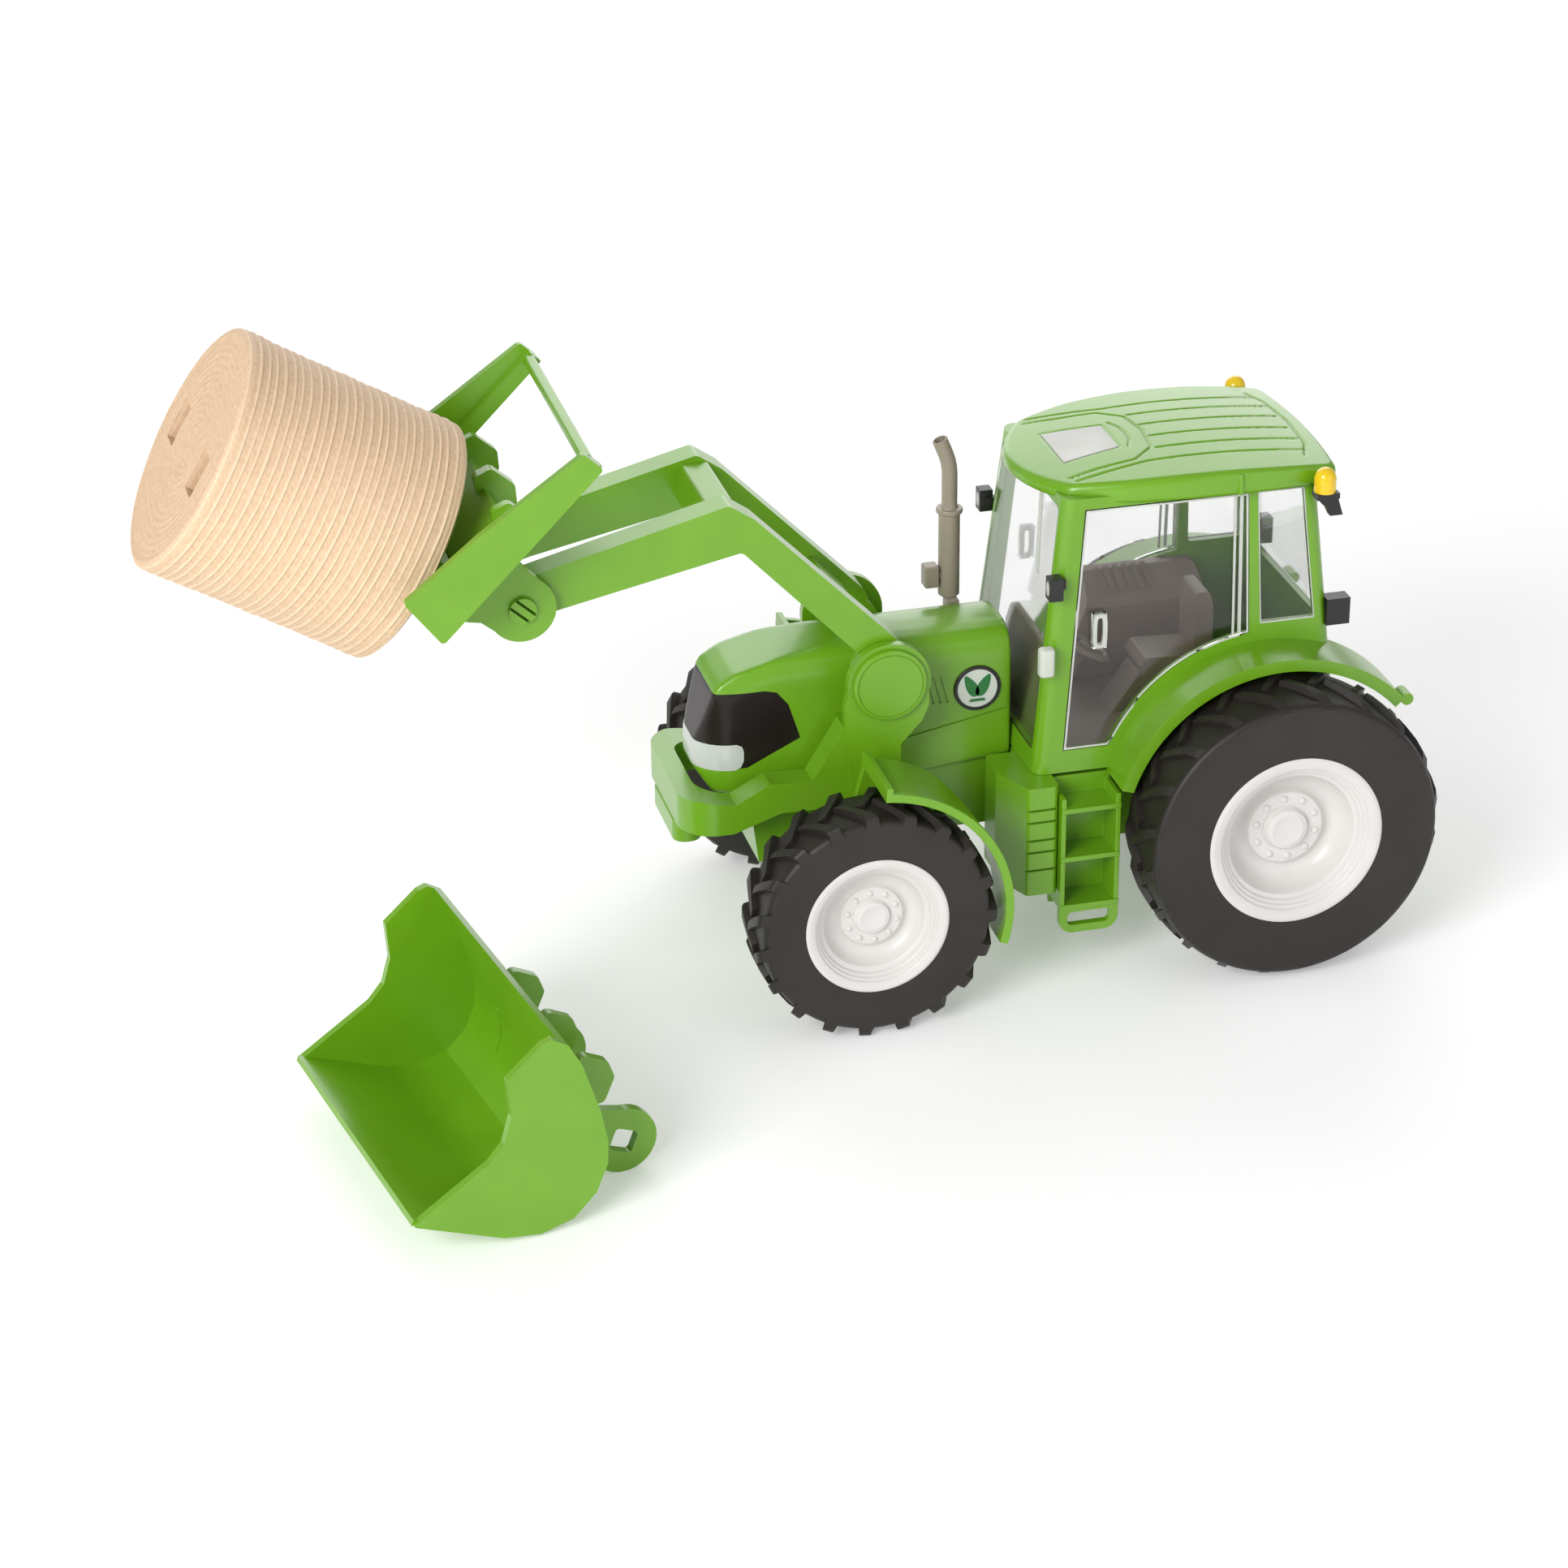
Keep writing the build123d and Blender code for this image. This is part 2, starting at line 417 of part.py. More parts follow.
low_plate = side_plate([(119.4, 112.2), (127.8, 120.8), (129.6, 119.0), (121.2, 110.5)], -ARM_IN, ARM_IN)
nodes["boom"] = with_mirror(arm + (snap - slits)) + knee_plate + low_plate

# ---- coupler ears shared by the fork and the bucket, drawn about the implement pin

def coupler_ear(root, lug, y_low, y_high, hole):
    """A round ear about the pin, joined to the implement by the root outline, with a lug above it."""
    ear = side_plate(root, y_low, y_high) + rod(EAR_R, 0, 0, y_low, y_high)
    return ear + side_plate(lug, y_low, y_high, 2.0) - hole


# ---- bale fork

at_coupler = Pos(COUPLER[0], 0, COUPLER[1])
fork_side = [(208.8, 186.6), (203.2, 181.4), (250.6, 133.6), (261.2, 147.4), (238.9, 165.4)]
cheek = side_plate(fork_side, FORK_HALF - PLATE, FORK_HALF, 1.2)
flange = side_plate([(206.4, 184.4), (203.2, 181.4), (250.6, 133.6), (253.6, 137.4)],
                    FORK_HALF - 2 * PLATE, FORK_HALF - PLATE)
beam = side_plate([(226.4, 158.0), (250.6, 133.9), (253.2, 137.2), (229.4, 161.0)],
                  -FORK_HALF + PLATE, FORK_HALF - PLATE)
fork_root = [(24.4, 1.6), (16.0, -2.0), (12.0, -2.7), (5.6, -7.9), (-7.2, 6.5), (6.0, 20.4)]
fork_lug = [(6.4, 23.6), (8.0, 31.0), (2.6, 33.4), (-4.2, 27.6), (-4.6, 21.6), (-1.0, 18.0), (12, 15.8)]
hole = rod(COUPLER_PIN_R + RUNNING_GAP, 0, 0, 0, 40)
fork_ear = at_coupler * coupler_ear(fork_root, fork_lug, EAR_IN, EAR_OUT, hole)
mid_lug = at_coupler * side_plate(fork_lug, -2.0, 2.0, 2.0)
fork = with_mirror(cheek + flange + fork_ear) + beam + mid_lug
bale_axis = (cos(radians(BALE_TILT)), sin(radians(BALE_TILT)))
bale_back = (BALE_FACE[0] - BALE_LENGTH * bale_axis[0], BALE_FACE[1] - BALE_LENGTH * bale_axis[1])
on_bale = Pos(bale_back[0], 0, bale_back[1]) * Rot(0, -BALE_TILT, 0)
carrier = on_bale * block(-6.5, -0.4, -26, 26, -9, 6)
nodes["fork_frame"] = fork + carrier
tines = []
for tine_y in (-SLOT_Y, SLOT_Y):
    shaft = block(-0.4, TINE_LENGTH, tine_y - TINE_WIDE / 2, tine_y + TINE_WIDE / 2,
                  -TINE_TALL / 2, TINE_TALL / 2)
    tip_cut = side_plate([(TINE_LENGTH - 14, TINE_TALL / 2), (TINE_LENGTH + 1, 1.0),
                          (TINE_LENGTH + 1, 9), (TINE_LENGTH - 14, 9)], -60, 60)
    tines.append(on_bale * (shaft - tip_cut))
nodes["fork_tines"] = Compound(tines)
nodes["fork_top_bar"] = side_plate(
    [(205.2, 180.6), (208.4, 180.6), (208.4, 183.8), (205.2, 183.8)], -41.1, 41.1)

# ---- round bale: a drum with two slot sleeves, closed by an end disc

def slots(margin, low, high):
    wide, tall = SLOT_WIDE / 2 + margin, SLOT_TALL / 2 + margin
    return [block(low, high, y - wide, y + wide, -tall, tall) for y in (-SLOT_Y, SLOT_Y)]


DISC = 2.4
bale_drum = Pos(BALE_LENGTH / 2, 0, 0) * Rot(0, 90, 0) * Cylinder(BALE_R, BALE_LENGTH)
bale_drum = fillet(bale_drum.edges().sort_by(Axis.X)[-1], 2.5)
bale_inside = Pos((BALE_LENGTH - 3) / 2, 0, 0) * Rot(0, 90, 0) * Cylinder(BALE_R - 2.2, BALE_LENGTH - 3)
bale_shell = (bale_drum - bale_inside) + slots(1.4, DISC, BALE_LENGTH - 1)
nodes["bale_shell"] = on_bale * (bale_shell - slots(0, -1, BALE_LENGTH + 5))
end_disc = Pos(DISC / 2, 0, 0) * Rot(0, 90, 0) * Cylinder(BALE_R - 2.2, DISC)
nodes["bale_end_disc"] = on_bale * (end_disc - slots(0, -1, 5))

# ---- bucket, drawn with its cutting edge at the origin and its floor along -X

bucket_profile = [
    (0, 0), (-28, 0), (-38.5, 2.6), (-46.6, 8.4), (-50.6, 17.2), (-50.8, 26.2), (-48.4, 33),
    (-42.8, 41.6), (-32.4, 54.2), (-26.4, 59.2), (-21, 60.2)]
cheek_profile = bucket_profile + [(-18.6, 58.2), (-12.2, 46.4), (-17.2, 36.2), (-18, 27.8), (-15.8, 21.6)]
inner_profile = [
    (1, 1.6), (-6.5, BUCKET_WALL), (-28, BUCKET_WALL), (-37.2, 5.0), (-44.4, 10.2), (-48.0, 18.0),
    (-48.2, 25.6), (-46.2, 31.6), (-40.8, 40.0), (-31.0, 52.4), (-19, 64), (20, 64), (20, 1.6)]
bucket_sheet = side_plate(bucket_profile + [(20, 62), (20, 0)], -BUCKET_HALF + 1, BUCKET_HALF - 1)
bucket_sheet = bucket_sheet - side_plate(inner_profile, -60, 60)
bucket_sheet = bucket_sheet - block(0, 30, -60, 60, -1, 70)
bucket_cheek = side_plate(cheek_profile, BUCKET_HALF - BUCKET_WALL, BUCKET_HALF, 0.5)
square = side_plate([(-3.6, -3.4), (3.6, -3.4), (3.6, 3.4), (-3.6, 3.4)], 20, 32, 1.2)
bucket_lug = [(22.6, 24.0), (13.6, 23.2), (9.9, 19.0), (10.2, 11.0), (14, 9), (22, 9)]
bucket_root = [(20.0, 7.0), (17.0, -9.0), (0.0, -9.8), (0.0, 9.8)]
at_bucket_pin = Pos(-66.2, 0, 23.6)
bucket_ear = at_bucket_pin * coupler_ear(bucket_root, bucket_lug, EAR_IN, EAR_OUT, square)
bucket_mid_lug = at_bucket_pin * side_plate(bucket_lug, -1.5, 1.5, 2.0)
outside = side_plate([(-100, -20), (-44, -20), (-44, 8.9), (-47.6, 17.4), (-47.8, 26), (-40.6, 41),
                      (-30, 60), (-100, 60)], -40, 40)
bucket = bucket_sheet + with_mirror(bucket_cheek) + (with_mirror(bucket_ear) & outside)
bucket = bucket + (bucket_mid_lug & outside)
bucket_place = Pos(*BUCKET_LIP) * Rot(0, 0, BUCKET_YAW) * Rot(0, BUCKET_PITCH, 0)
nodes["bucket"] = bucket_place * bucket

# ---- move everything so that the origin is at the middle of the footprint, and write the files

whole = Compound([solid for node in nodes.values() for solid in node.solids()])
box = whole.bounding_box()
ORIGIN = ((box.min.X + box.max.X) / 2, (box.min.Y + box.max.Y) / 2, box.min.Z)
os.makedirs("parts", exist_ok=True)
for name, node in nodes.items():
    solids = [Pos(-ORIGIN[0], -ORIGIN[1], -ORIGIN[2]) * solid for solid in node.solids()]
    shape = solids[0] if len(solids) == 1 else Compound(solids)
    export_step(shape, os.path.join("parts", name + ".step"))
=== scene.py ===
import bmesh
import bpy
import json
from math import atan2, cos, pi, radians, sin, sqrt
from mathutils import Matrix, Vector, noise

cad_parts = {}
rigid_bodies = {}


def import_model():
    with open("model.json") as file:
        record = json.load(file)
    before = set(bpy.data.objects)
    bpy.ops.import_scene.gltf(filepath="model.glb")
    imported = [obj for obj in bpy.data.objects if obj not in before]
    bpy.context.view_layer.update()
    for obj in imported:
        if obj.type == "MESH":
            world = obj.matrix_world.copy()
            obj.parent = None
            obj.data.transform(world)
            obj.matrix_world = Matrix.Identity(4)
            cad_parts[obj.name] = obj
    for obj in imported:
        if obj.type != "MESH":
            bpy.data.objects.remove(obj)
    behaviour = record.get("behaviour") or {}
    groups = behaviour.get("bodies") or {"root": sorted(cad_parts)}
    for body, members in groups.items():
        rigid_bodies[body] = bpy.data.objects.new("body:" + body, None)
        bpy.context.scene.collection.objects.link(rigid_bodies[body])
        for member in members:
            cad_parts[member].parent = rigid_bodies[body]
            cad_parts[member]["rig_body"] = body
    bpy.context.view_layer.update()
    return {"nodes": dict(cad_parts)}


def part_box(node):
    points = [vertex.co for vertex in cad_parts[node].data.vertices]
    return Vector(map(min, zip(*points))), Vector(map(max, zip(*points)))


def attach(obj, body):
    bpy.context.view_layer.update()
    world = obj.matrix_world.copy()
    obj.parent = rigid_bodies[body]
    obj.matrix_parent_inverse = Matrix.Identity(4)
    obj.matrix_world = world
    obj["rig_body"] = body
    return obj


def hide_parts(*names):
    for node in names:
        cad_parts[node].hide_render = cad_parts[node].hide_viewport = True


# Toy farm tractor with a front loader, a bale fork with a round bale, and a spare bucket.
# Sizes are written in millimetres from the tractor's own datum: the ground below the rear axle on
# the centre line, +X forwards, +Y to its left and +Z up.  at() turns them into the shared frame.

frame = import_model()
axle_low, axle_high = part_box("rear_axle")
DATUM = Vector(((axle_low.x + axle_high.x) / 2, (axle_low.y + axle_high.y) / 2, 0))
WHEELBASE, REAR_R, FRONT_R = 129.6, 47.0, 36.7
TRACK_FACE = 66.6                    # outer face of every wheel, from the centre line
PIVOT = (115.6, 96.3)                # the boom's pivot
BADGE = (84.3, 84.8)                 # centre of the hood badges
SILL = (64, 36, 73)                  # the cab at its sill: height, half width and front
EAVE = (150, 31.4, 63.8)             # the same at the roof
MM = Matrix.Scale(0.001, 4)


def at(x, y, z):
    return Vector((x, y, z)) / 1000 + DATUM


def stand(x, y, z):
    """Places millimetre shapes at a point, with their axes along the frame's."""
    return Matrix.Translation(at(x, y, z)) @ MM


# ---- materials

def add(tree, kind, **values):
    node = tree.nodes.new(kind)
    for key, value in values.items():
        setattr(node, key, value)
    return node


def plastic(name, dark, light, rough, scale=60.0, grain=2500.0, bump=0.04, depth=0.0001, stretch=None,
            **sockets):
    """A moulded surface: colour drifting between two tones, and a fine grain in roughness and bump."""
    made = bpy.data.materials.new(name)
    made.use_nodes = True
    tree = made.node_tree
    shader = tree.nodes["Principled BSDF"]
    for socket, value in sockets.items():
        shader.inputs[socket.replace("_", " ")].default_value = value
    place = add(tree, "ShaderNodeTexCoord").outputs["Object"]
    if stretch:
        mapping = add(tree, "ShaderNodeMapping")
        mapping.inputs["Rotation"].default_value = stretch[0]
        mapping.inputs["Scale"].default_value = stretch[1]
        tree.links.new(place, mapping.inputs["Vector"])
        place = mapping.outputs["Vector"]
    drift = add(tree, "ShaderNodeTexNoise")
    drift.inputs["Scale"].default_value = scale
    drift.inputs["Detail"].default_value = 3.0
    tree.links.new(place, drift.inputs["Vector"])
    ramp = add(tree, "ShaderNodeValToRGB")
    ramp.color_ramp.elements[0].position = 0.35
    ramp.color_ramp.elements[1].position = 0.65
    ramp.color_ramp.elements[0].color = (*dark, 1)
    ramp.color_ramp.elements[1].color = (*light, 1)
    tree.links.new(drift.outputs["Fac"], ramp.inputs["Fac"])
    tree.links.new(ramp.outputs["Color"], shader.inputs["Base Color"])
    fine = add(tree, "ShaderNodeTexNoise")
    fine.inputs["Scale"].default_value = grain
    fine.inputs["Detail"].default_value = 2.0
    tree.links.new(place, fine.inputs["Vector"])
    spread = add(tree, "ShaderNodeMapRange")
    spread.inputs["To Min"].default_value = rough * 0.85
    spread.inputs["To Max"].default_value = min(rough * 1.15, 1)
    tree.links.new(fine.outputs["Fac"], spread.inputs["Value"])
    tree.links.new(spread.outputs["Result"], shader.inputs["Roughness"])
    relief = add(tree, "ShaderNodeBump")
    relief.inputs["Strength"].default_value = bump
    relief.inputs["Distance"].default_value = depth
    tree.links.new(fine.outputs["Fac"], relief.inputs["Height"])
    tree.links.new(relief.outputs["Normal"], shader.inputs["Normal"])
    return made


GREEN = plastic("green_plastic", (0.145, 0.355, 0.007), (0.158, 0.38, 0.009), 0.32, Coat_Weight=0.35,
                Coat_Roughness=0.16)
TYRE = plastic("tyre_plastic", (0.015, 0.0115, 0.0095), (0.02, 0.0155, 0.013), 0.5, bump=0.2)
RIM = plastic("rim_plastic", (0.68, 0.66, 0.64), (0.72, 0.70, 0.68), 0.36, bump=0.06)
INSIDE = plastic("interior_plastic", (0.245, 0.175, 0.147), (0.275, 0.2, 0.17), 0.42, bump=0.1)
GRILLE = plastic("grille_plastic", (0.012, 0.008, 0.007), (0.016, 0.011, 0.01), 0.3, Specular_IOR_Level=0.3)
STACK = plastic("stack_plastic", (0.31, 0.265, 0.205), (0.36, 0.31, 0.245), 0.38, bump=0.1)
BLACK = plastic("black_plastic", (0.012, 0.012, 0.012), (0.018, 0.018, 0.018), 0.4)
BEACON = plastic("beacon_plastic", (0.82, 0.53, 0.003), (0.87, 0.6, 0.005), 0.22, Coat_Weight=0.4)
STEEL = plastic("steel", (0.45, 0.45, 0.45), (0.55, 0.55, 0.55), 0.35, Metallic=1.0)
WHITE = plastic("badge_white", (0.62, 0.66, 0.6), (0.68, 0.72, 0.66), 0.35)
INK = plastic("badge_ink", (0.01, 0.16, 0.03), (0.012, 0.19, 0.035), 0.35)
CLEAR = plastic("clear_plastic", (0.93, 0.935, 0.93), (0.96, 0.965, 0.96), 0.03, bump=0.01,
                Transmission_Weight=1.0, IOR=1.4)
LENS = plastic("lens_plastic", (0.82, 0.86, 0.82), (0.88, 0.91, 0.88), 0.12, Transmission_Weight=0.35,
               IOR=1.45)
PANE = plastic("frosted_plastic", (0.84, 0.83, 0.79), (0.9, 0.89, 0.85), 0.12, Transmission_Weight=0.55)
CLEAR_RIB = plastic("clear_edge", (0.8, 0.82, 0.76), (0.9, 0.92, 0.87), 0.2, Transmission_Weight=0.35)
BALE_TILT, BALE_LENGTH, RINGS, WANDER = radians(30.7), 70.5, 26, 0.1
BALE = plastic("bale_plastic", (0.67, 0.468, 0.29), (0.77, 0.55, 0.36), 0.62, scale=900.0, grain=2200.0,
               bump=0.35, depth=0.0003, stretch=((0, BALE_TILT, 0), (1.3, 0.7, 0.7)))
bale_axis = Vector((cos(BALE_TILT), 0, sin(BALE_TILT)))
bale_back = Vector((313.0, 0, 182.4)) - bale_axis * BALE_LENGTH


def paint_ring_highlights(made):
    """Painted highlight: paler colour laid on the wound bale's raised rings, at the same spacing as its
    relief.
    """
    tree = made.node_tree
    along = add(tree, "ShaderNodeVectorMath", operation="DOT_PRODUCT")
    along.inputs[1].default_value = bale_axis
    tree.links.new(add(tree, "ShaderNodeTexCoord").outputs["Object"], along.inputs[0])

    def sum_of(operation, first, second):
        node = add(tree, "ShaderNodeMath", operation=operation)
        tree.links.new(first, node.inputs[0])
        if hasattr(second, "links"):
            tree.links.new(second, node.inputs[1])
        else:
            node.inputs[1].default_value = second
        return node.outputs[0]

    start = at(*bale_back).dot(bale_axis)
    spot = sum_of("MULTIPLY", sum_of("SUBTRACT", along.outputs["Value"], start), RINGS * 1000 / BALE_LENGTH)
    wander = sum_of("MULTIPLY", sum_of("SINE", sum_of("MULTIPLY", spot, 1.9), 0.0), WANDER)
    near = sum_of("ABSOLUTE", sum_of("SUBTRACT", sum_of("FRACT", sum_of("ADD", spot, wander), 0.0), 0.5), 0.0)
    ridge = add(tree, "ShaderNodeMapRange")
    ridge.inputs["From Min"].default_value = 0.2
    ridge.inputs["From Max"].default_value = 0.04
    ridge.inputs["To Max"].default_value = 0.5
    tree.links.new(near, ridge.inputs["Value"])
    # painted highlight: the pale ring colour mixed in over the raised rings
    ring_highlight_mix = add(tree, "ShaderNodeMix", data_type="RGBA")
    ring_highlight_mix.inputs["B"].default_value = (0.85, 0.66, 0.47, 1)
    base = tree.nodes["Principled BSDF"].inputs["Base Color"]
    ramp = base.links[0].from_socket
    tree.links.new(ramp, ring_highlight_mix.inputs["A"])
    tree.links.new(ridge.outputs["Result"], ring_highlight_mix.inputs["Factor"])
    tree.links.new(ring_highlight_mix.outputs["Result"], base)


# the bale's material gets a painted highlight on its raised rings
paint_ring_highlights(BALE)


# ---- mesh helpers

def finish(bm, name, surface, body, nodes=(), sharp=38.0):
    """Make a piece from a bmesh, shade it, and let it ride on a body in place of CAD nodes."""
    bmesh.ops.recalc_face_normals(bm, faces=bm.faces)
    mesh = bpy.data.meshes.new(name)
    bm.to_mesh(mesh)
    bm.free()
    for face in mesh.polygons:
        face.use_smooth = True
    mesh.set_sharp_from_angle(angle=radians(sharp))
    mesh.materials.append(surface)
    piece = bpy.data.objects.new(name, mesh)
    bpy.context.scene.collection.objects.link(piece)
    weigh = piece.modifiers.new("weigh", "WEIGHTED_NORMAL")
    weigh.keep_sharp = True
    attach(piece, body)
    if nodes:
        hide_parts(*nodes)
    return piece


def bevel(bm, edges, width, steps):
    """Round edges by a width in millimetres."""
    bmesh.ops.bevel(bm, geom=edges, offset=width / 1000, segments=steps, profile=0.5, affect="EDGES",
                    clamp_overlap=True)


def soften(node, width, surface, body="tractor", steps=2, angle=28.0):
    """A copy of a CAD node with its edges rounded, as moulded plastic has them."""
    bm = bmesh.new()
    bm.from_mesh(frame["nodes"][node].data)
    bmesh.ops.remove_doubles(bm, verts=bm.verts, dist=2e-6)
    bmesh.ops.dissolve_limit(bm, angle_limit=radians(0.8), verts=bm.verts, edges=bm.edges)
    edges = [e for e in bm.edges if e.is_manifold and e.calc_face_angle(0) > radians(angle)]
    bevel(bm, edges, width, steps)
    return finish(bm, node + "_moulded", surface, body, [node])


def lathe(bm, profile, place, segments=96):
    """Turn a (radius, height) profile, in millimetres, about the local Z axis of place."""
    rings = []
    for radius, height in profile:
        if radius < 1e-6:
            rings.append([bm.verts.new(place @ Vector((0, 0, height)))])
        else:
            rings.append([bm.verts.new(place @ Vector((radius * cos(2 * pi * k / segments),
                                                       radius * sin(2 * pi * k / segments), height)))
                          for k in range(segments)])
    return rings


def skin(bm, rings):
    """Join rings of vertices with faces; a ring of one vertex closes to a point."""
    for low, high in zip(rings, rings[1:]):
        count = max(len(low), len(high))
        for k in range(count):
            after = k + 1
            corners = [low[k % len(low)], low[after % len(low)], high[after % len(high)], high[k % len(high)]]
            unique = [v for i, v in enumerate(corners) if v not in corners[:i]]
            if len(unique) > 2:
                bm.faces.new(unique)


def wrap(rings):
    """The same rings, each closed on its first vertex."""
    return [ring + ring[:1] if len(ring) > 1 else ring for ring in rings]


def axis_y(x, z, side=1):
    """Places a lathe profile so that its heights run outwards along Y from the centre line."""
    swap = Matrix(((1, 0, 0, 0), (0, 0, side, 0), (0, 1, 0, 0), (0, 0, 0, 1)))
    return Matrix.Translation(DATUM) @ MM @ Matrix.Translation((x, 0, z)) @ swap


def cut(piece, cutters, operation="DIFFERENCE"):
    """Apply booleans with closed meshes, then drop them."""
    for cutter in cutters:
        step = piece.modifiers.new("cut", "BOOLEAN")
        step.object, step.operation, step.solver = cutter, operation, "EXACT"
        bpy.context.view_layer.update()
        graph = bpy.context.evaluated_depsgraph_get()
        mesh = bpy.data.meshes.new_from_object(piece.evaluated_get(graph))
        piece.modifiers.clear()
        piece.data = mesh
    for cutter in cutters:
        bpy.data.objects.remove(cutter)


def solid(name, bm):
    """A plain closed mesh object, used to cut with."""
    bmesh.ops.recalc_face_normals(bm, faces=bm.faces)
    mesh = bpy.data.meshes.new(name)
    bm.to_mesh(mesh)
    bm.free()
    made = bpy.data.objects.new(name, mesh)
    bpy.context.scene.collection.objects.link(made)
    return made


def prism(name, outline, low, high, axes="xz"):
    """An outline in two axes made into a bar along the third one, as a cutter."""
    bm = bmesh.new()
    rings = []
    for depth in (low, high):
        ring = []
        for a, b in outline:
            point = {"xz": (a, depth, b), "xy": (a, b, depth), "yz": (depth, a, b)}[axes]
            ring.append(bm.verts.new(at(*point)))
        rings.append(ring)
    bm.faces.new(rings[0])
    bm.faces.new(rings[1])
    skin(bm, wrap(rings))
    return solid(name, bm)


# ---- wheels

LUG = ((0, 2.0, 2.3), (0.03, 0.8, 2.2), (0.1, 0.1, 2.0), (0.3, 0, 1.9), (0.55, 0, 1.8), (0.8, 0, 1.7),
       (1, 0.1, 1.6))                # way across from the shoulder, drop below the tread's top, half width
LUG_HEIGHT = 2.1


def tyre(name, x, radius, width, bead, lugs, side, shoulder=0.0):
    """A smooth carcass with two rows of slanted lugs that pass each other at the middle.

    The lugs' outer ends slope down by shoulder, which keeps the rear ones clear of an open door.
    """
    face, back = TRACK_FACE, TRACK_FACE - width
    tread, middle = radius - LUG_HEIGHT, TRACK_FACE - width / 2
    place = axis_y(x, radius, side)
    bm = bmesh.new()
    slant = width / 2 * 0.75 / radius
    for row in (1, -1):
        for index in range(lugs):
            start = (index + 0.25 * row) * 2 * pi / lugs
            rings = []
            for t, drop, half in LUG:
                y = middle + row * (width / 2 - 0.15) * (1 - t) - row * 1.6 * t
                drop = max(drop, shoulder - 0.37 * width * t)
                turn = start + slant * (0.55 - t ** 1.25)
                corners = []
                for r, reach in ((tread - 1.2 - drop, half + 0.5), (radius - drop, half - 0.3),
                                 (radius - drop, 0.3 - half), (tread - 1.2 - drop, -half - 0.5)):
                    angle = turn + reach / radius
                    corners.append(bm.verts.new(place @ Vector((r * cos(angle), r * sin(angle), y))))
                rings.append(corners)
            skin(bm, wrap(rings))
            bm.faces.new(rings[0])
            bm.faces.new(rings[-1])
    edges = [e for e in bm.edges if e.is_manifold and e.calc_face_angle(0) > radians(38)]
    bevel(bm, edges, 0.35, 2)
    wall = [(bead, -1.7), (bead + 0.5, -1.1), (bead + 1.6, -0.9), (bead + 4, -0.55), (tread - 9, -0.3),
            (tread - 4, -0.12), (tread - 2.2, -0.15), (tread - 1.1, -0.5), (tread - 0.5, -1.2), (tread, -2.6)]
    outline = [(r, face + h) for r, h in wall] + [(tread + 0.25, middle)]
    outline += [(r, back - h) for r, h in reversed(wall)]
    rings = lathe(bm, outline, place, 160)
    skin(bm, wrap(rings + rings[:1]))
    return finish(bm, name, TYRE, name.replace("tyre", "wheel").replace("_ribbed", ""),
                  [name.replace("_ribbed", "")], 50)


# a rim's turned profile, as parts of the bead radius, with the height below the face in millimetres ...
RIM_FLANGE = ((1.045, -1.5), (1.045, -0.9), (1.02, -0.55), (0.985, -0.5), (0.915, -1.0), (0.9, -1.3),
              (0.893, -1.9), (0.865, -2.1), (0.857, -2.4), (0.85, -3.0), (0.825, -3.2), (0.817, -3.5),
              (0.808, -4.3), (0.77, -4.6), (0.755, -4.9))
# ... and, further in, as parts of the bowl's depth
RIM_BOWL = ((0.742, 0.56), (0.725, 0.68), (0.69, 0.86), (0.64, 0.97), (0.59, 1.03), (0.53, 1.05),
            (0.482, 1.0), (0.462, 0.93), (0.452, 0.87), (0.435, 0.845), (0.29, 0.845), (0.277, 0.87),
            (0.268, 0.87), (0.258, 0.84), (0.252, 0.74), (0.235, 0.69), (0.2, 0.68), (0.192, 0.665),
            (0.183, 0.665), (0.17, 0.68), (0, 0.655))
AXLE_END, AXLE_HOLE = 50.4, 2.6      # from the centre line; radius
STUDS = 10


def rim(name, x, radius, bead, width, deep, side):
    """A wide flange, three steps and a bowl down to the bolt ring and the hub cap."""
    face, back = TRACK_FACE, TRACK_FACE - width
    floor = face - deep
    outline = [(bead * r, face + h) for r, h in RIM_FLANGE]
    outline += [(bead * r, face - deep * d) for r, d in RIM_BOWL]
    outline += [(0, AXLE_END), (AXLE_HOLE, AXLE_END), (AXLE_HOLE, back + 1.5), (6.8, back + 1.5),
                (6.8, floor - 2.2), (bead * 0.75, floor - 2.2), (bead - 2, face - 8.5),
                (bead - 2, back + 1.5), (bead, back + 1.5), (bead, face - 1.5)]
    place = axis_y(x, radius, side)
    bm = bmesh.new()
    rings = lathe(bm, outline, place, 144)
    skin(bm, wrap(rings + rings[:1]))
    for index in range(STUDS):
        angle = (index + 0.35) * 2 * pi / STUDS
        centre = (bead * 0.37 * cos(angle), bead * 0.37 * sin(angle))
        spot = place @ Matrix.Translation((*centre, face - deep * 0.85))
        dome = [(0.042, 0), (0.042, 0.35), (0.034, 0.6), (0.02, 0.75), (0, 0.8)]
        stud = lathe(bm, [(bead * r, h) for r, h in dome], spot, 14)
        skin(bm, wrap(stud))
    return finish(bm, name, RIM, name.replace("rim", "wheel").replace("_turned", ""),
                  [name.replace("_turned", "")], 42)


for side, hand in ((1, "left"), (-1, "right")):
    tyre(f"rear_tyre_{hand}_ribbed", 0, REAR_R, 27.0, 26.0, 20, side, 3.5)
    rim(f"rear_rim_{hand}_turned", 0, REAR_R, 26.0, 27.0, 12.0, side)
    tyre(f"front_tyre_{hand}_ribbed", WHEELBASE, FRONT_R, 20.6, 20.8, 19, side)
    rim(f"front_rim_{hand}_turned", WHEELBASE, FRONT_R, 20.8, 20.6, 9.0, side)

# ---- round bale: wound rings round the drum, a loose spiral on the end, and two slots

BALE_R = 37.5
bale_place = (Matrix.Translation(DATUM) @ MM @ Matrix.Translation(bale_back)
              @ Matrix.Rotation(pi / 2 - BALE_TILT, 4, "Y"))


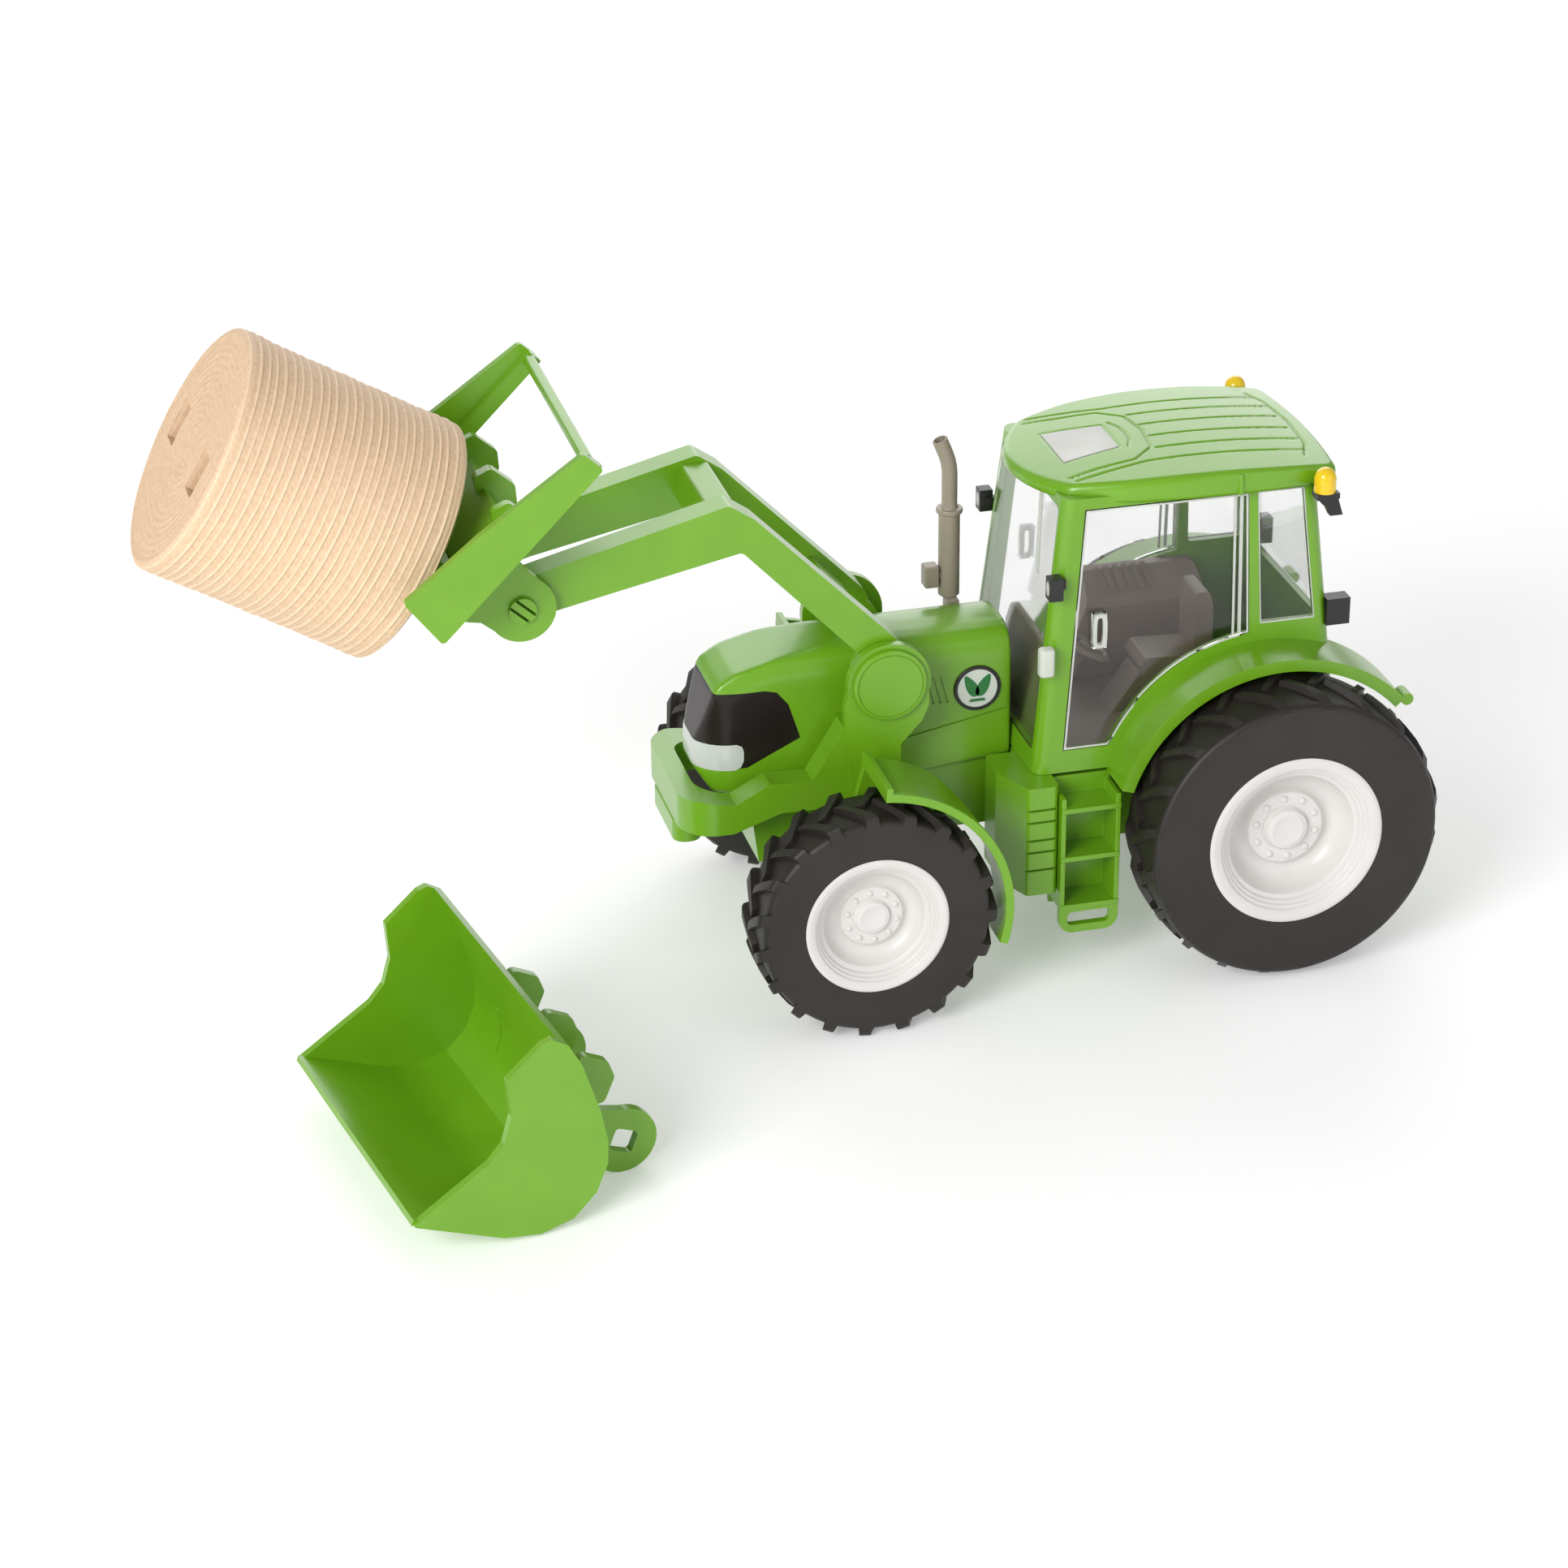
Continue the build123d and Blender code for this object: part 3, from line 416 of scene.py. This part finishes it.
def bale_skin(turn, height):
    """Radius of the wound side at a turn angle and height: thin raised bands with fine unevenness."""
    wobble = noise.noise(Vector((cos(turn) * 3.1, sin(turn) * 3.1, height * 0.2))) * 0.22
    spot = (height + wobble) / BALE_LENGTH * RINGS
    spot += WANDER * sin(1.9 * spot)
    band = int(spot)
    near = abs(spot - band - 0.5)
    strength = 0.75 + 0.5 * noise.noise(Vector((band * 3.1, cos(turn) * 1.5, sin(turn) * 1.5)))
    ridge = max(0.0, 1 - near / 0.2)
    sag = 0.25 * noise.noise(Vector((cos(turn) * 1.4, sin(turn) * 1.4, height * 0.03)))
    end = min(height, BALE_LENGTH - height)
    waist = 0.45 * min(end / 14, 1)
    corner = 2.6
    trim = corner - sqrt(max(corner ** 2 - max(corner - end, 0) ** 2, 0))
    return BALE_R - 0.75 - waist + sag + 0.42 * strength * ridge * ridge * (3 - 2 * ridge) - trim


def end_face(radius, turn):
    """Height of the wound end over the flat: a spiral of shallow rolls."""
    roll = (radius / 2.3 - turn / (2 * pi)) % 1
    fade = min(radius / 8, 1) * min((BALE_R - 3 - radius) / 4, 1)
    fibre = 0.12 * noise.noise(Vector((radius * 0.2, cos(turn), sin(turn))))
    return 0.28 * (abs(roll - 0.5) * 2) ** 0.6 * max(fade, 0) + fibre


bm = bmesh.new()
SEGMENTS, STEPS = 160, 300
BACK_STEPS, FRONT_STEPS = 46, 81
TURNS_ROUND = [2 * pi * k / SEGMENTS for k in range(SEGMENTS)]


def end_ring(part, flat, outward):
    """One ring of a wound end, at a part of its radius; outward is 1 at the front and -1 at the back."""
    if part == 0:
        return [bm.verts.new(bale_place @ Vector((0, 0, flat + 0.1 * outward)))]
    radius = (BALE_R - 3.4) * part
    return [bm.verts.new(bale_place @ Vector((radius * cos(turn), radius * sin(turn),
                                              flat + outward * end_face(radius, turn))))
            for turn in TURNS_ROUND]


rings = [end_ring(step / BACK_STEPS, 0.5, -1) for step in range(BACK_STEPS)]
for step in range(STEPS + 1):
    height = 0.02 + (BALE_LENGTH - 0.04) * step / STEPS
    ring = []
    for turn in TURNS_ROUND:
        radius = bale_skin(turn, height)
        ring.append(bm.verts.new(bale_place @ Vector((radius * cos(turn), radius * sin(turn), height))))
    rings.append(ring)
rings += [end_ring(step / FRONT_STEPS, BALE_LENGTH - 0.5, 1) for step in range(FRONT_STEPS - 1, -1, -1)]
skin(bm, wrap(rings))
bale = finish(bm, "bale_wound", BALE, "bale", ["bale_shell", "bale_end_disc"], 60)
bale.modifiers.clear()
slot_cutters = []
for y in (-20, 20):
    bm = bmesh.new()
    bmesh.ops.create_cube(bm, size=1, matrix=bale_place @ Matrix.Translation((0, y, BALE_LENGTH / 2))
                          @ Matrix.Diagonal((12.6, 8.6, BALE_LENGTH + 6, 1)))
    slot_cutters.append(solid("slot_cutter", bm))
cut(bale, slot_cutters)

# ---- cab roof: an arched lid with pressed grooves and a rounded rim

ROOF_SIDE = ((61.0, 27.0), (45.0, 32.8), (25.0, 35.4), (0.0, 35.4), (-20.5, 32.6))
ROOF_TOPS = ((-24.0, 153.0), (22.0, 156.6), (73.0, 151.2))


def through(points, x):
    """A parabola through three points."""
    (xa, za), (xb, zb), (xc, zc) = points
    return (za * (x - xb) * (x - xc) / ((xa - xb) * (xa - xc))
            + zb * (x - xa) * (x - xc) / ((xb - xa) * (xb - xc))
            + zc * (x - xa) * (x - xb) / ((xc - xa) * (xc - xb)))


def roof_half(x):
    """Half width of the roof at x, by smooth steps along its side, or less than zero beyond its ends."""
    points = sorted(ROOF_SIDE)
    if x <= points[0][0]:
        return points[0][1] if x > -22.4 else -1
    for (xa, ya), (xb, yb) in zip(points, points[1:]):
        if x <= xb:
            t = (x - xa) / (xb - xa)
            return ya + (yb - ya) * t + 1.1 * t * (1 - t)
    return 27.0


def in_roof(x, y):
    """Whether a point lies inside the roof's outline in plan."""
    front = 71.2 - (y / 27.0) ** 2 * 10.2
    rear = -22.3 + (y / 32.6) ** 2 * 2.0
    return rear < x < front and abs(y) < roof_half(x)


def groove(distance, width=0.55, depth=0.5):
    """Depth of a pressed groove at a distance from its line."""
    return depth * max(0.0, 1 - (distance / width) ** 2)


def to_line(x, y, line):
    """Distance from a point to a bent line."""
    best = 99.0
    for (xa, ya), (xb, yb) in zip(line, line[1:]):
        length = (xb - xa) ** 2 + (yb - ya) ** 2
        t = min(max(((x - xa) * (xb - xa) + (y - ya) * (yb - ya)) / length, 0), 1)
        best = min(best, sqrt((x - xa - t * (xb - xa)) ** 2 + (y - ya - t * (yb - ya)) ** 2))
    return best


ROOF_LINES = (
    ((59.5, 22.4), (50.0, 20.4), (38.0, 19.0), (31.0, 12.6), (29.6, 0.0)),
    ((37.0, 9.8), (35.2, 5.0), (34.8, 0.0)),
    ((-14.8, 4.8), (28.6, 4.6)), ((-14.8, 13.6), (29.6, 13.4)), ((-13.6, 22.0), (35.0, 21.4), (58.0, 25.2)),
    ((-12.6, 26.0), (-15.6, 18.0), (-17.0, 0.0)),
)
SKYLIGHT = ((39.6, 8.6), (57.6, 11.4))  # its left-hand corners, x and y


def roof_z(x, y):
    """Height of the roof: an arch along x, a slight crown across, and the grooves."""
    z = through(ROOF_TOPS, x) - y * y / 1000
    for line in ROOF_LINES:
        z -= groove(to_line(x, abs(y), line))
    (x_rear, _), (x_front, _) = SKYLIGHT
    frame_gap = to_line(x, abs(y), ((x_rear, 0), *SKYLIGHT, (x_front, 0)))
    return z - groove(frame_gap, 0.9, 0.35)


bm = bmesh.new()
CENTRE_X, TURNS, STEPS = 24.0, 360, 110
rim_reach = []
for k in range(TURNS):
    turn = 2 * pi * k / TURNS
    low, high = 0.0, 90.0
    for _ in range(24):
        middle = (low + high) / 2
        if in_roof(CENTRE_X + middle * cos(turn), middle * sin(turn)):
            low = middle
        else:
            high = middle
    rim_reach.append(low)
for _ in range(3):
    rim_reach = [(rim_reach[k - 1] + 2 * rim_reach[k] + rim_reach[(k + 1) % TURNS]) / 4 for k in range(TURNS)]
RIM_ROUND, ROOF_LOW = 2.2, 147.65
rings = []
for step in range(STEPS + 1):
    part = step / STEPS
    ring = []
    for k in range(TURNS if step else 1):
        turn = 2 * pi * k / TURNS
        reach = rim_reach[k] * (1 - (1 - part) ** 1.25)
        x, y = CENTRE_X + reach * cos(turn), reach * sin(turn)
        inward = max(RIM_ROUND - (rim_reach[k] - reach), 0)
        z = roof_z(x, y) - (RIM_ROUND - sqrt(RIM_ROUND ** 2 - inward ** 2))
        ring.append(bm.verts.new(at(x, y, z)))
    rings.append(ring)
for shrink, drop in ((0.02, 0.4), (0.15, 0.75), (0.5, 0.95), (1.1, 1.0), (4.5, 1.0), (5.0, -1.7)):
    ring = []
    for k in range(TURNS):
        turn = 2 * pi * k / TURNS
        x, y = CENTRE_X + rim_reach[k] * cos(turn), rim_reach[k] * sin(turn)
        rim_z = roof_z(x, y) - RIM_ROUND
        scale = (rim_reach[k] - shrink) / rim_reach[k]
        z = rim_z + (ROOF_LOW - rim_z) * drop if drop >= 0 else ROOF_LOW - drop
        ring.append(bm.verts.new(at(CENTRE_X + (x - CENTRE_X) * scale, y * scale, z)))
    rings.append(ring)
rings.append([bm.verts.new(at(CENTRE_X, 0, 149.35))])
skin(bm, wrap(rings))
roof = finish(bm, "cab_roof_pressed", GREEN, "tractor", ["cab_roof"], 55)
(x_rear, y_rear), (x_front, y_front) = SKYLIGHT
hatch = [(x_rear, -y_rear), (x_rear, y_rear), (x_front, y_front), (x_front, -y_front)]
roof.modifiers.clear()
cut(roof, [prism("hatch_cutter", hatch, 140, 170, "xy")])

# ---- hood, grille and headlight band, cut from one smooth body

bm = bmesh.new()
for node in ("hood", "grille", "headlight"):
    bm.from_mesh(frame["nodes"][node].data)
hull = bmesh.ops.convex_hull(bm, input=bm.verts)
buried = set(hull["geom_interior"])
bmesh.ops.delete(bm, geom=[v for v in bm.verts if not v.link_faces or v in buried], context="VERTS")
spare = [f for f in bm.faces if f not in set(hull["geom"])]
bmesh.ops.delete(bm, geom=spare, context="FACES_ONLY")
bmesh.ops.delete(bm, geom=[v for v in bm.verts if not v.link_faces], context="VERTS")
body = solid("nose_body", bm)
grid = body.modifiers.new("grid", "REMESH")
grid.mode, grid.voxel_size = "VOXEL", 0.0007
ease = body.modifiers.new("ease", "SMOOTH")
ease.factor, ease.iterations = 0.5, 16
bpy.context.view_layer.update()
nose_mesh = bpy.data.meshes.new_from_object(body.evaluated_get(bpy.context.evaluated_depsgraph_get()))
bpy.data.objects.remove(body)


def nose_piece(name, surface, nodes, keep=None, away=(), push=0.0):
    """Part of the smooth nose: kept inside one outline and cleared of others."""
    bm = bmesh.new()
    bm.from_mesh(nose_mesh)
    if push:
        for v in bm.verts:
            v.co -= v.normal * push / 1000
    piece = finish(bm, name, surface, "tractor", nodes, 40)
    piece.modifiers.clear()
    if keep:
        cut(piece, [keep], "INTERSECT")
    cut(piece, list(away))
    for face in piece.data.polygons:
        face.use_smooth = True
    piece.data.set_sharp_from_angle(angle=radians(40))
    weigh = piece.modifiers.new("weigh", "WEIGHTED_NORMAL")
    weigh.keep_sharp = True
    return piece


GRILLE_ZONE = [(139.2, 75.2), (142.8, 86.6), (146.4, 91.0), (150, 91.9), (176, 91.9), (176, 67.2),
               (155.6, 67.2)]
LENS_ZONE = [(159.4, 66.8), (157.6, 67.6), (156.7, 69.6), (156.6, 72.6), (157.2, 74.4), (158.8, 75.2),
             (176, 75.2), (176, 66.8)]
engraved = []
for low, high in ((13.5, 20), (-20, -13.5)):
    engraved.append(prism("seam", [(72, 77.9), (72, 77.3), (112, 69.7), (112, 70.3)], low, high))
    for x in (93.2, 95.4, 97.6):
        engraved.append(prism("vent", [(x, 81), (x + 0.7, 81), (x + 3.2, 90), (x + 2.5, 90)], low, high))
nose_piece("hood_smooth", GREEN, ["hood"],
           away=[prism("zone", GRILLE_ZONE, -20, 20), prism("zone", LENS_ZONE, -20, 20)] + engraved)
nose_piece("grille_smooth", GRILLE, ["grille"], keep=prism("zone", GRILLE_ZONE, -20, 20),
           away=[prism("zone", LENS_ZONE, -20, 20)], push=0.25)
nose_piece("headlight_lens", LENS, ["headlight"], keep=prism("zone", LENS_ZONE, -20, 20), push=0.1)


# ---- small turned and cut pieces

def turn_piece(name, profile, place, surface, nodes=()):
    """A turned piece on the tractor."""
    bm = bmesh.new()
    rings = lathe(bm, profile, place, 72)
    skin(bm, wrap(rings))
    return finish(bm, name, surface, "tractor", nodes, 30)


def raised(bm, outline, place, low, high):
    """A flat outline standing from low to high above a place."""
    rings = [[bm.verts.new(place @ Vector((a, b, level))) for a, b in outline] for level in (low, high)]
    skin(bm, wrap(rings))
    bm.faces.new(rings[0])
    bm.faces.new(rings[1])


# turned profiles: radius about the piece's axis, and distance from the centre line
PIVOT_CAP = [(0, 14.4), (3.4, 14.4), (3.5, 14.6), (3.5, 27.9), (10.9, 27.9), (11.2, 28.2), (11.2, 29.2),
             (11.05, 29.55), (10.7, 29.75), (10.3, 29.8), (10.15, 29.78), (10.0, 29.45), (9.8, 29.45),
             (9.65, 29.76), (0, 29.8)]
BADGE_FACE = [(0, 13.6), (6.3, 13.6), (6.3, 14.55), (0, 14.6)]
BADGE_RING = [(6.2, 13.6), (6.2, 14.6), (6.35, 14.75), (7.1, 14.75), (7.3, 14.55), (7.3, 13.6), (6.2, 13.6)]

for side, hand in ((1, "left"), (-1, "right")):
    hub = axis_y(*PIVOT, side)
    turn_piece("boss_" + hand, PIVOT_CAP, hub, GREEN, nodes=["pivot_pin_" + hand])
    disc = axis_y(*BADGE, side)
    turn_piece("badge_face_" + hand, BADGE_FACE, disc, WHITE)
    turn_piece("badge_ring_" + hand, BADGE_RING, disc, BLACK,
               nodes=["hood_badges"] if side == 1 else ())
    bm = bmesh.new()
    for lean, shift in ((radians(118), -2.0), (radians(62), 2.0)):
        leaf = []
        for k in range(24):
            turn = 2 * pi * k / 24
            long, wide = 3.9 * cos(turn), 1.7 * sin(turn) * (1 - 0.35 * cos(turn))
            leaf.append((shift + long * cos(lean) - wide * sin(lean),
                         0.9 + long * sin(lean) + wide * cos(lean)))
        raised(bm, leaf, disc, 14.5, 14.68)
    raised(bm, [(-2.6, -4.3), (2.6, -4.3), (2.2, -3.4), (-2.2, -3.4)], disc, 14.5, 14.68)
    finish(bm, "badge_leaves_" + hand, INK, "tractor")


def side_at(z):
    """Half width of the cab at a height."""
    return SILL[1] + (EAVE[1] - SILL[1]) * (z - SILL[0]) / (EAVE[0] - SILL[0])


def windscreen_x(z):
    """Where the cab's front face stands at a height."""
    return SILL[2] + (EAVE[2] - SILL[2]) * (z - SILL[0]) / (EAVE[0] - SILL[0])


def strip(name, outline, wide, hand, surface, body, low=-0.2, high=0.12):
    """A narrow raised band just inside a closed outline on a side of the cab."""
    side = 1 if hand == "left" else -1
    count = len(outline)
    centre = (sum(a for a, b in outline) / count, sum(b for a, b in outline) / count)
    inner = []
    for k, (a, b) in enumerate(outline):
        before, after = Vector(outline[k - 1]), Vector(outline[(k + 1) % count])
        here = Vector((a, b))
        first, second = (here - before).normalized(), (after - here).normalized()
        inward = Vector((-(first + second).y, (first + second).x)).normalized()
        if inward.dot(Vector(centre) - here) < 0:
            inward = -inward
        stretch = 1 / max(sqrt((1 + first.dot(second)) / 2), 0.5)
        inner.append(tuple(here + inward * wide * stretch))
    bm = bmesh.new()
    rings = []
    for loop, level in ((outline, low), (outline, high), (inner, high), (inner, low)):
        rings.append([bm.verts.new(at(a, side * (side_at(b) + level), b)) for a, b in loop])
    skin(bm, wrap(rings + rings[:1]))
    return finish(bm, name, surface, body)


ARCH, DOOR_LOW, DOOR_REAR = 55.6, 71.4, 6.0
low_x = sqrt(ARCH ** 2 - (DOOR_LOW - REAR_R) ** 2)
door_line = [(63.6, DOOR_LOW), (57.0, 146.2), (7.0, 146.2),
             (DOOR_REAR, REAR_R + sqrt(ARCH ** 2 - DOOR_REAR ** 2))]
start_turn = atan2(door_line[-1][1] - REAR_R, DOOR_REAR)
end_turn = atan2(DOOR_LOW - REAR_R, low_x)
for k in range(1, 21):
    turn = start_turn + (end_turn - start_turn) * k / 20
    door_line.append((ARCH * cos(turn), REAR_R + ARCH * sin(turn)))
quarter_line = [(-14.9, 104.6), (2.3, 104.6), (3.9, 146.3), (-10.5, 146.3)]
for side, hand in ((1, "left"), (-1, "right")):
    strip("door_edge_" + hand, door_line, 0.55, hand, CLEAR_RIB, "door_" + hand)
    strip("quarter_edge_" + hand, quarter_line, 0.3, hand, CLEAR_RIB, "tractor", high=0.06)
    for x, thick in ((8.5, 0.5), (10.6, 0.35)):
        foot = REAR_R + sqrt(ARCH ** 2 - x ** 2) + 0.6
        rib = [(x, foot), (x + 2 * thick, foot), (x + 2 * thick, 146), (x, 146)]
        strip(f"door_hinge_rib_{hand}_{int(x)}", rib, thick, hand, CLEAR_RIB, "door_" + hand,
              high=0.3)
    grip = stand(53.2, side * (side_at(109) + 2.0), 109)
    bm = bmesh.new()
    rings = []
    for scale, level in ((1, -1.0), (1, 0.25), (0.8, 0.3), (0.5, 0.3), (0.42, 0.1), (0.42, -1.0)):
        ring = []
        for k in range(32):
            turn = 2 * pi * k / 32
            a = abs(cos(turn)) ** 0.5 * (1 if cos(turn) > 0 else -1) * 2.2 * scale
            b = abs(sin(turn)) ** 0.5 * (1 if sin(turn) > 0 else -1) * (5.5 - 2.2 * (1 - scale))
            ring.append(bm.verts.new(grip @ Vector((a, side * level, b))))
        rings.append(ring)
    skin(bm, wrap(rings + rings[:1]))
    finish(bm, "door_grip_" + hand, CLEAR_RIB, "door_" + hand)
    knuckle = [(0, 0), (0.8, 0.05), (1.0, 0.4), (1.0, 5.6), (0.8, 6.1), (0, 6.3)]
    turn_piece("roof_knuckle_" + hand, knuckle, stand(10.8, side * 35.3, 147.9), GREEN)
    lamp = stand(69.5, side * 35.3, 124.5) @ Matrix.Rotation(pi / 2, 4, "Y")
    turn_piece("lamp_lens_" + hand, [(0, 0.25), (1.2, 0.2), (1.7, 0.0), (1.7, -0.6), (0, -0.6)],
               lamp @ Matrix.Diagonal((1.6, 1, 1, 1)), CLEAR_RIB)


# wiper: a slanted rib on the windscreen, as height, half width and thickness
WIPER = ((121.6, 0.3, 0.1), (122.4, 1.1, 0.5), (126, 1.3, 0.7), (136, 1.2, 0.7), (145.5, 1.1, 0.5),
         (146, 0.6, 0.1))
bm = bmesh.new()
rings = []
for z, wide, thick in WIPER:
    middle = 16.8 - (z - 122) * 0.22
    section = ((-0.2, -1), (thick * 0.6, -1), (thick, -0.6), (thick, 0.6), (thick * 0.6, 1), (-0.2, 1))
    rings.append([bm.verts.new(at(windscreen_x(z) + depth, middle + across * wide, z))
                  for depth, across in section])
skin(bm, wrap(rings))
bm.faces.new(rings[0])
bm.faces.new(rings[-1])
finish(bm, "wiper_moulded", CLEAR_RIB, "tractor")

# exhaust: a straight silencer with a collar, then a pipe bent forwards with an open mouth

STACK_X, STACK_Y, LEAN = 83.4, -19.6, radians(22)
PIPE_R, PIPE_BORE, BEND_R = 2.4, 1.85, 20
SILENCER = ((101, 0), (101, 2.9), (101.4, 3.3), (127.7, 3.3), (128.1, 3.5), (128.3, 4.0), (128.6, 4.1),
            (129.4, 4.1), (129.7, 3.9), (129.8, 2.7), (130.3, PIPE_R), (139.5, PIPE_R))
path, radii = [], []
for z, radius in SILENCER:
    path.append(Vector((STACK_X, STACK_Y, z)))
    radii.append(radius)
for k in range(1, 11):
    bend = LEAN * k / 10
    path.append(Vector((STACK_X + BEND_R * (1 - cos(bend)), STACK_Y, 140.2 + BEND_R * sin(bend))))
    radii.append(PIPE_R)
mouth = path[-1] + Vector((sin(LEAN), 0, cos(LEAN))) * 4.6
inward = Vector((sin(LEAN), 0, cos(LEAN))) * -4
path += [mouth, mouth - inward * 0.03, mouth - inward * 0.03, mouth + inward, mouth + inward * 1.01]
radii += [PIPE_R, 2.25, PIPE_BORE, PIPE_BORE, 0]
bm = bmesh.new()
rings = []
for k, (point, radius) in enumerate(zip(path, radii)):
    lean = 0 if k < len(SILENCER) else min(LEAN * (k + 1 - len(SILENCER)) / 10, LEAN)
    ahead, across = Vector((cos(lean), 0, -sin(lean))), Vector((0, 1, 0))
    if radius:
        rings.append([bm.verts.new(at(*(point + (ahead * cos(t) + across * sin(t)) * radius)))
                      for t in [2 * pi * j / 48 for j in range(48)]])
    else:
        rings.append([bm.verts.new(at(*point))])
skin(bm, wrap(rings))
# clamp and foot: limits in x and y from the stack's axis, and in height
clamp_blocks = ((-1.2, 7.4, -1.5, 1.5, 107, 109), (3.6, 8.2, -2.6, 2.6, 104.5, 111.5),
                (-2, 2, 0, 5.4, 96, 101.2))
for x_low, x_high, y_low, y_high, z_low, z_high in clamp_blocks:
    part = bmesh.ops.create_cube(bm, size=1)["verts"]
    for v in part:
        v.co = at(STACK_X + (x_low if v.co.x < 0 else x_high), STACK_Y + (y_low if v.co.y < 0 else y_high),
                  z_low if v.co.z < 0 else z_high)
    edges = list({e for v in part for e in v.link_edges})
    bevel(bm, edges, 0.7, 3)
finish(bm, "exhaust_turned", STACK, "tractor", ["exhaust_stack"], 42)

# ---- every other CAD node, with its edges rounded

DONE = ("rear_tyre", "front_tyre", "rear_rim", "front_rim", "bale", "cab_roof", "hood", "grille", "headlight",
        "pivot_pin", "exhaust")
for node in sorted(frame["nodes"]):
    body = frame["nodes"][node]["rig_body"]
    if node.startswith(DONE):
        continue
    if node in ("interior_tub", "seat", "steering_wheel"):
        soften(node, 0.5, INSIDE, body)
    elif node in ("windscreen", "rear_window") or node.startswith(("door", "quarter")):
        soften(node, 0.12, CLEAR, body, 1)
    elif node == "skylight":
        soften(node, 0.12, PANE, body, 1)
    elif node.startswith("marker"):
        soften(node, 0.9, CLEAR_RIB, body, 3)
    elif node.startswith(("work_lamp", "tail_lamp")) or node == "beacon_holders":
        soften(node, 0.4, BLACK, body)
    elif node.startswith("beacon"):
        soften(node, 0.3, BEACON, body)
    elif node in ("belly_screws", "rear_axle"):
        soften(node, 0.2, STEEL, body)
    else:
        soften(node, 0.7, GREEN, body)

# ---- floor, light and camera

bpy.ops.mesh.primitive_plane_add(size=6, location=at(140, 0, 0))
floor = bpy.context.object
floor.name = "floor"
floor.data.materials.append(plastic("floor_paper", (0.86, 0.86, 0.86), (0.88, 0.88, 0.88), 0.9, scale=4.0,
                                    Emission_Color=(1, 1, 1, 1), Emission_Strength=0.26))


def soft_light(name, position, target, size, power):
    lamp = bpy.data.lights.new(name, "AREA")
    lamp.shape = "SQUARE"
    lamp.size = size
    lamp.energy = power
    holder = bpy.data.objects.new(name, lamp)
    bpy.context.scene.collection.objects.link(holder)
    holder.location = at(*position)
    holder.rotation_euler = (at(*target) - at(*position)).to_track_quat("-Z", "Y").to_euler()


LIT = (140, 0, 60)
soft_light("key", (1100, 1000, 800), LIT, 0.7, 18.0)
soft_light("behind", (-150, -1300, 780), LIT, 1.5, 13.0)
soft_light("fill", (-700, 1100, 500), LIT, 0.9, 2.5)
world = bpy.data.worlds.new("studio")
world.use_nodes = True
world.node_tree.nodes["Background"].inputs["Color"].default_value = (1, 1, 1, 1)
world.node_tree.nodes["Background"].inputs["Strength"].default_value = 0.4
bpy.context.scene.world = world
bpy.context.scene.view_settings.view_transform = "Standard"

CAMERA_AT, CAMERA_AIM = (421.62, 1103.73, 625.26), (140.864, 0, 53.128)
CAMERA_LENS, CAMERA_ROLL = 96.296, -0.555
camera = bpy.data.cameras.new("camera")
camera.sensor_width = 36
camera.lens = CAMERA_LENS
eye = bpy.data.objects.new("camera", camera)
bpy.context.scene.collection.objects.link(eye)
eye.location = at(*CAMERA_AT)
gaze = (at(*CAMERA_AIM) - eye.location).to_track_quat("-Z", "Y").to_matrix()
eye.rotation_euler = (gaze @ Matrix.Rotation(radians(CAMERA_ROLL), 3, "Z")).to_euler()
bpy.context.scene.camera = eye
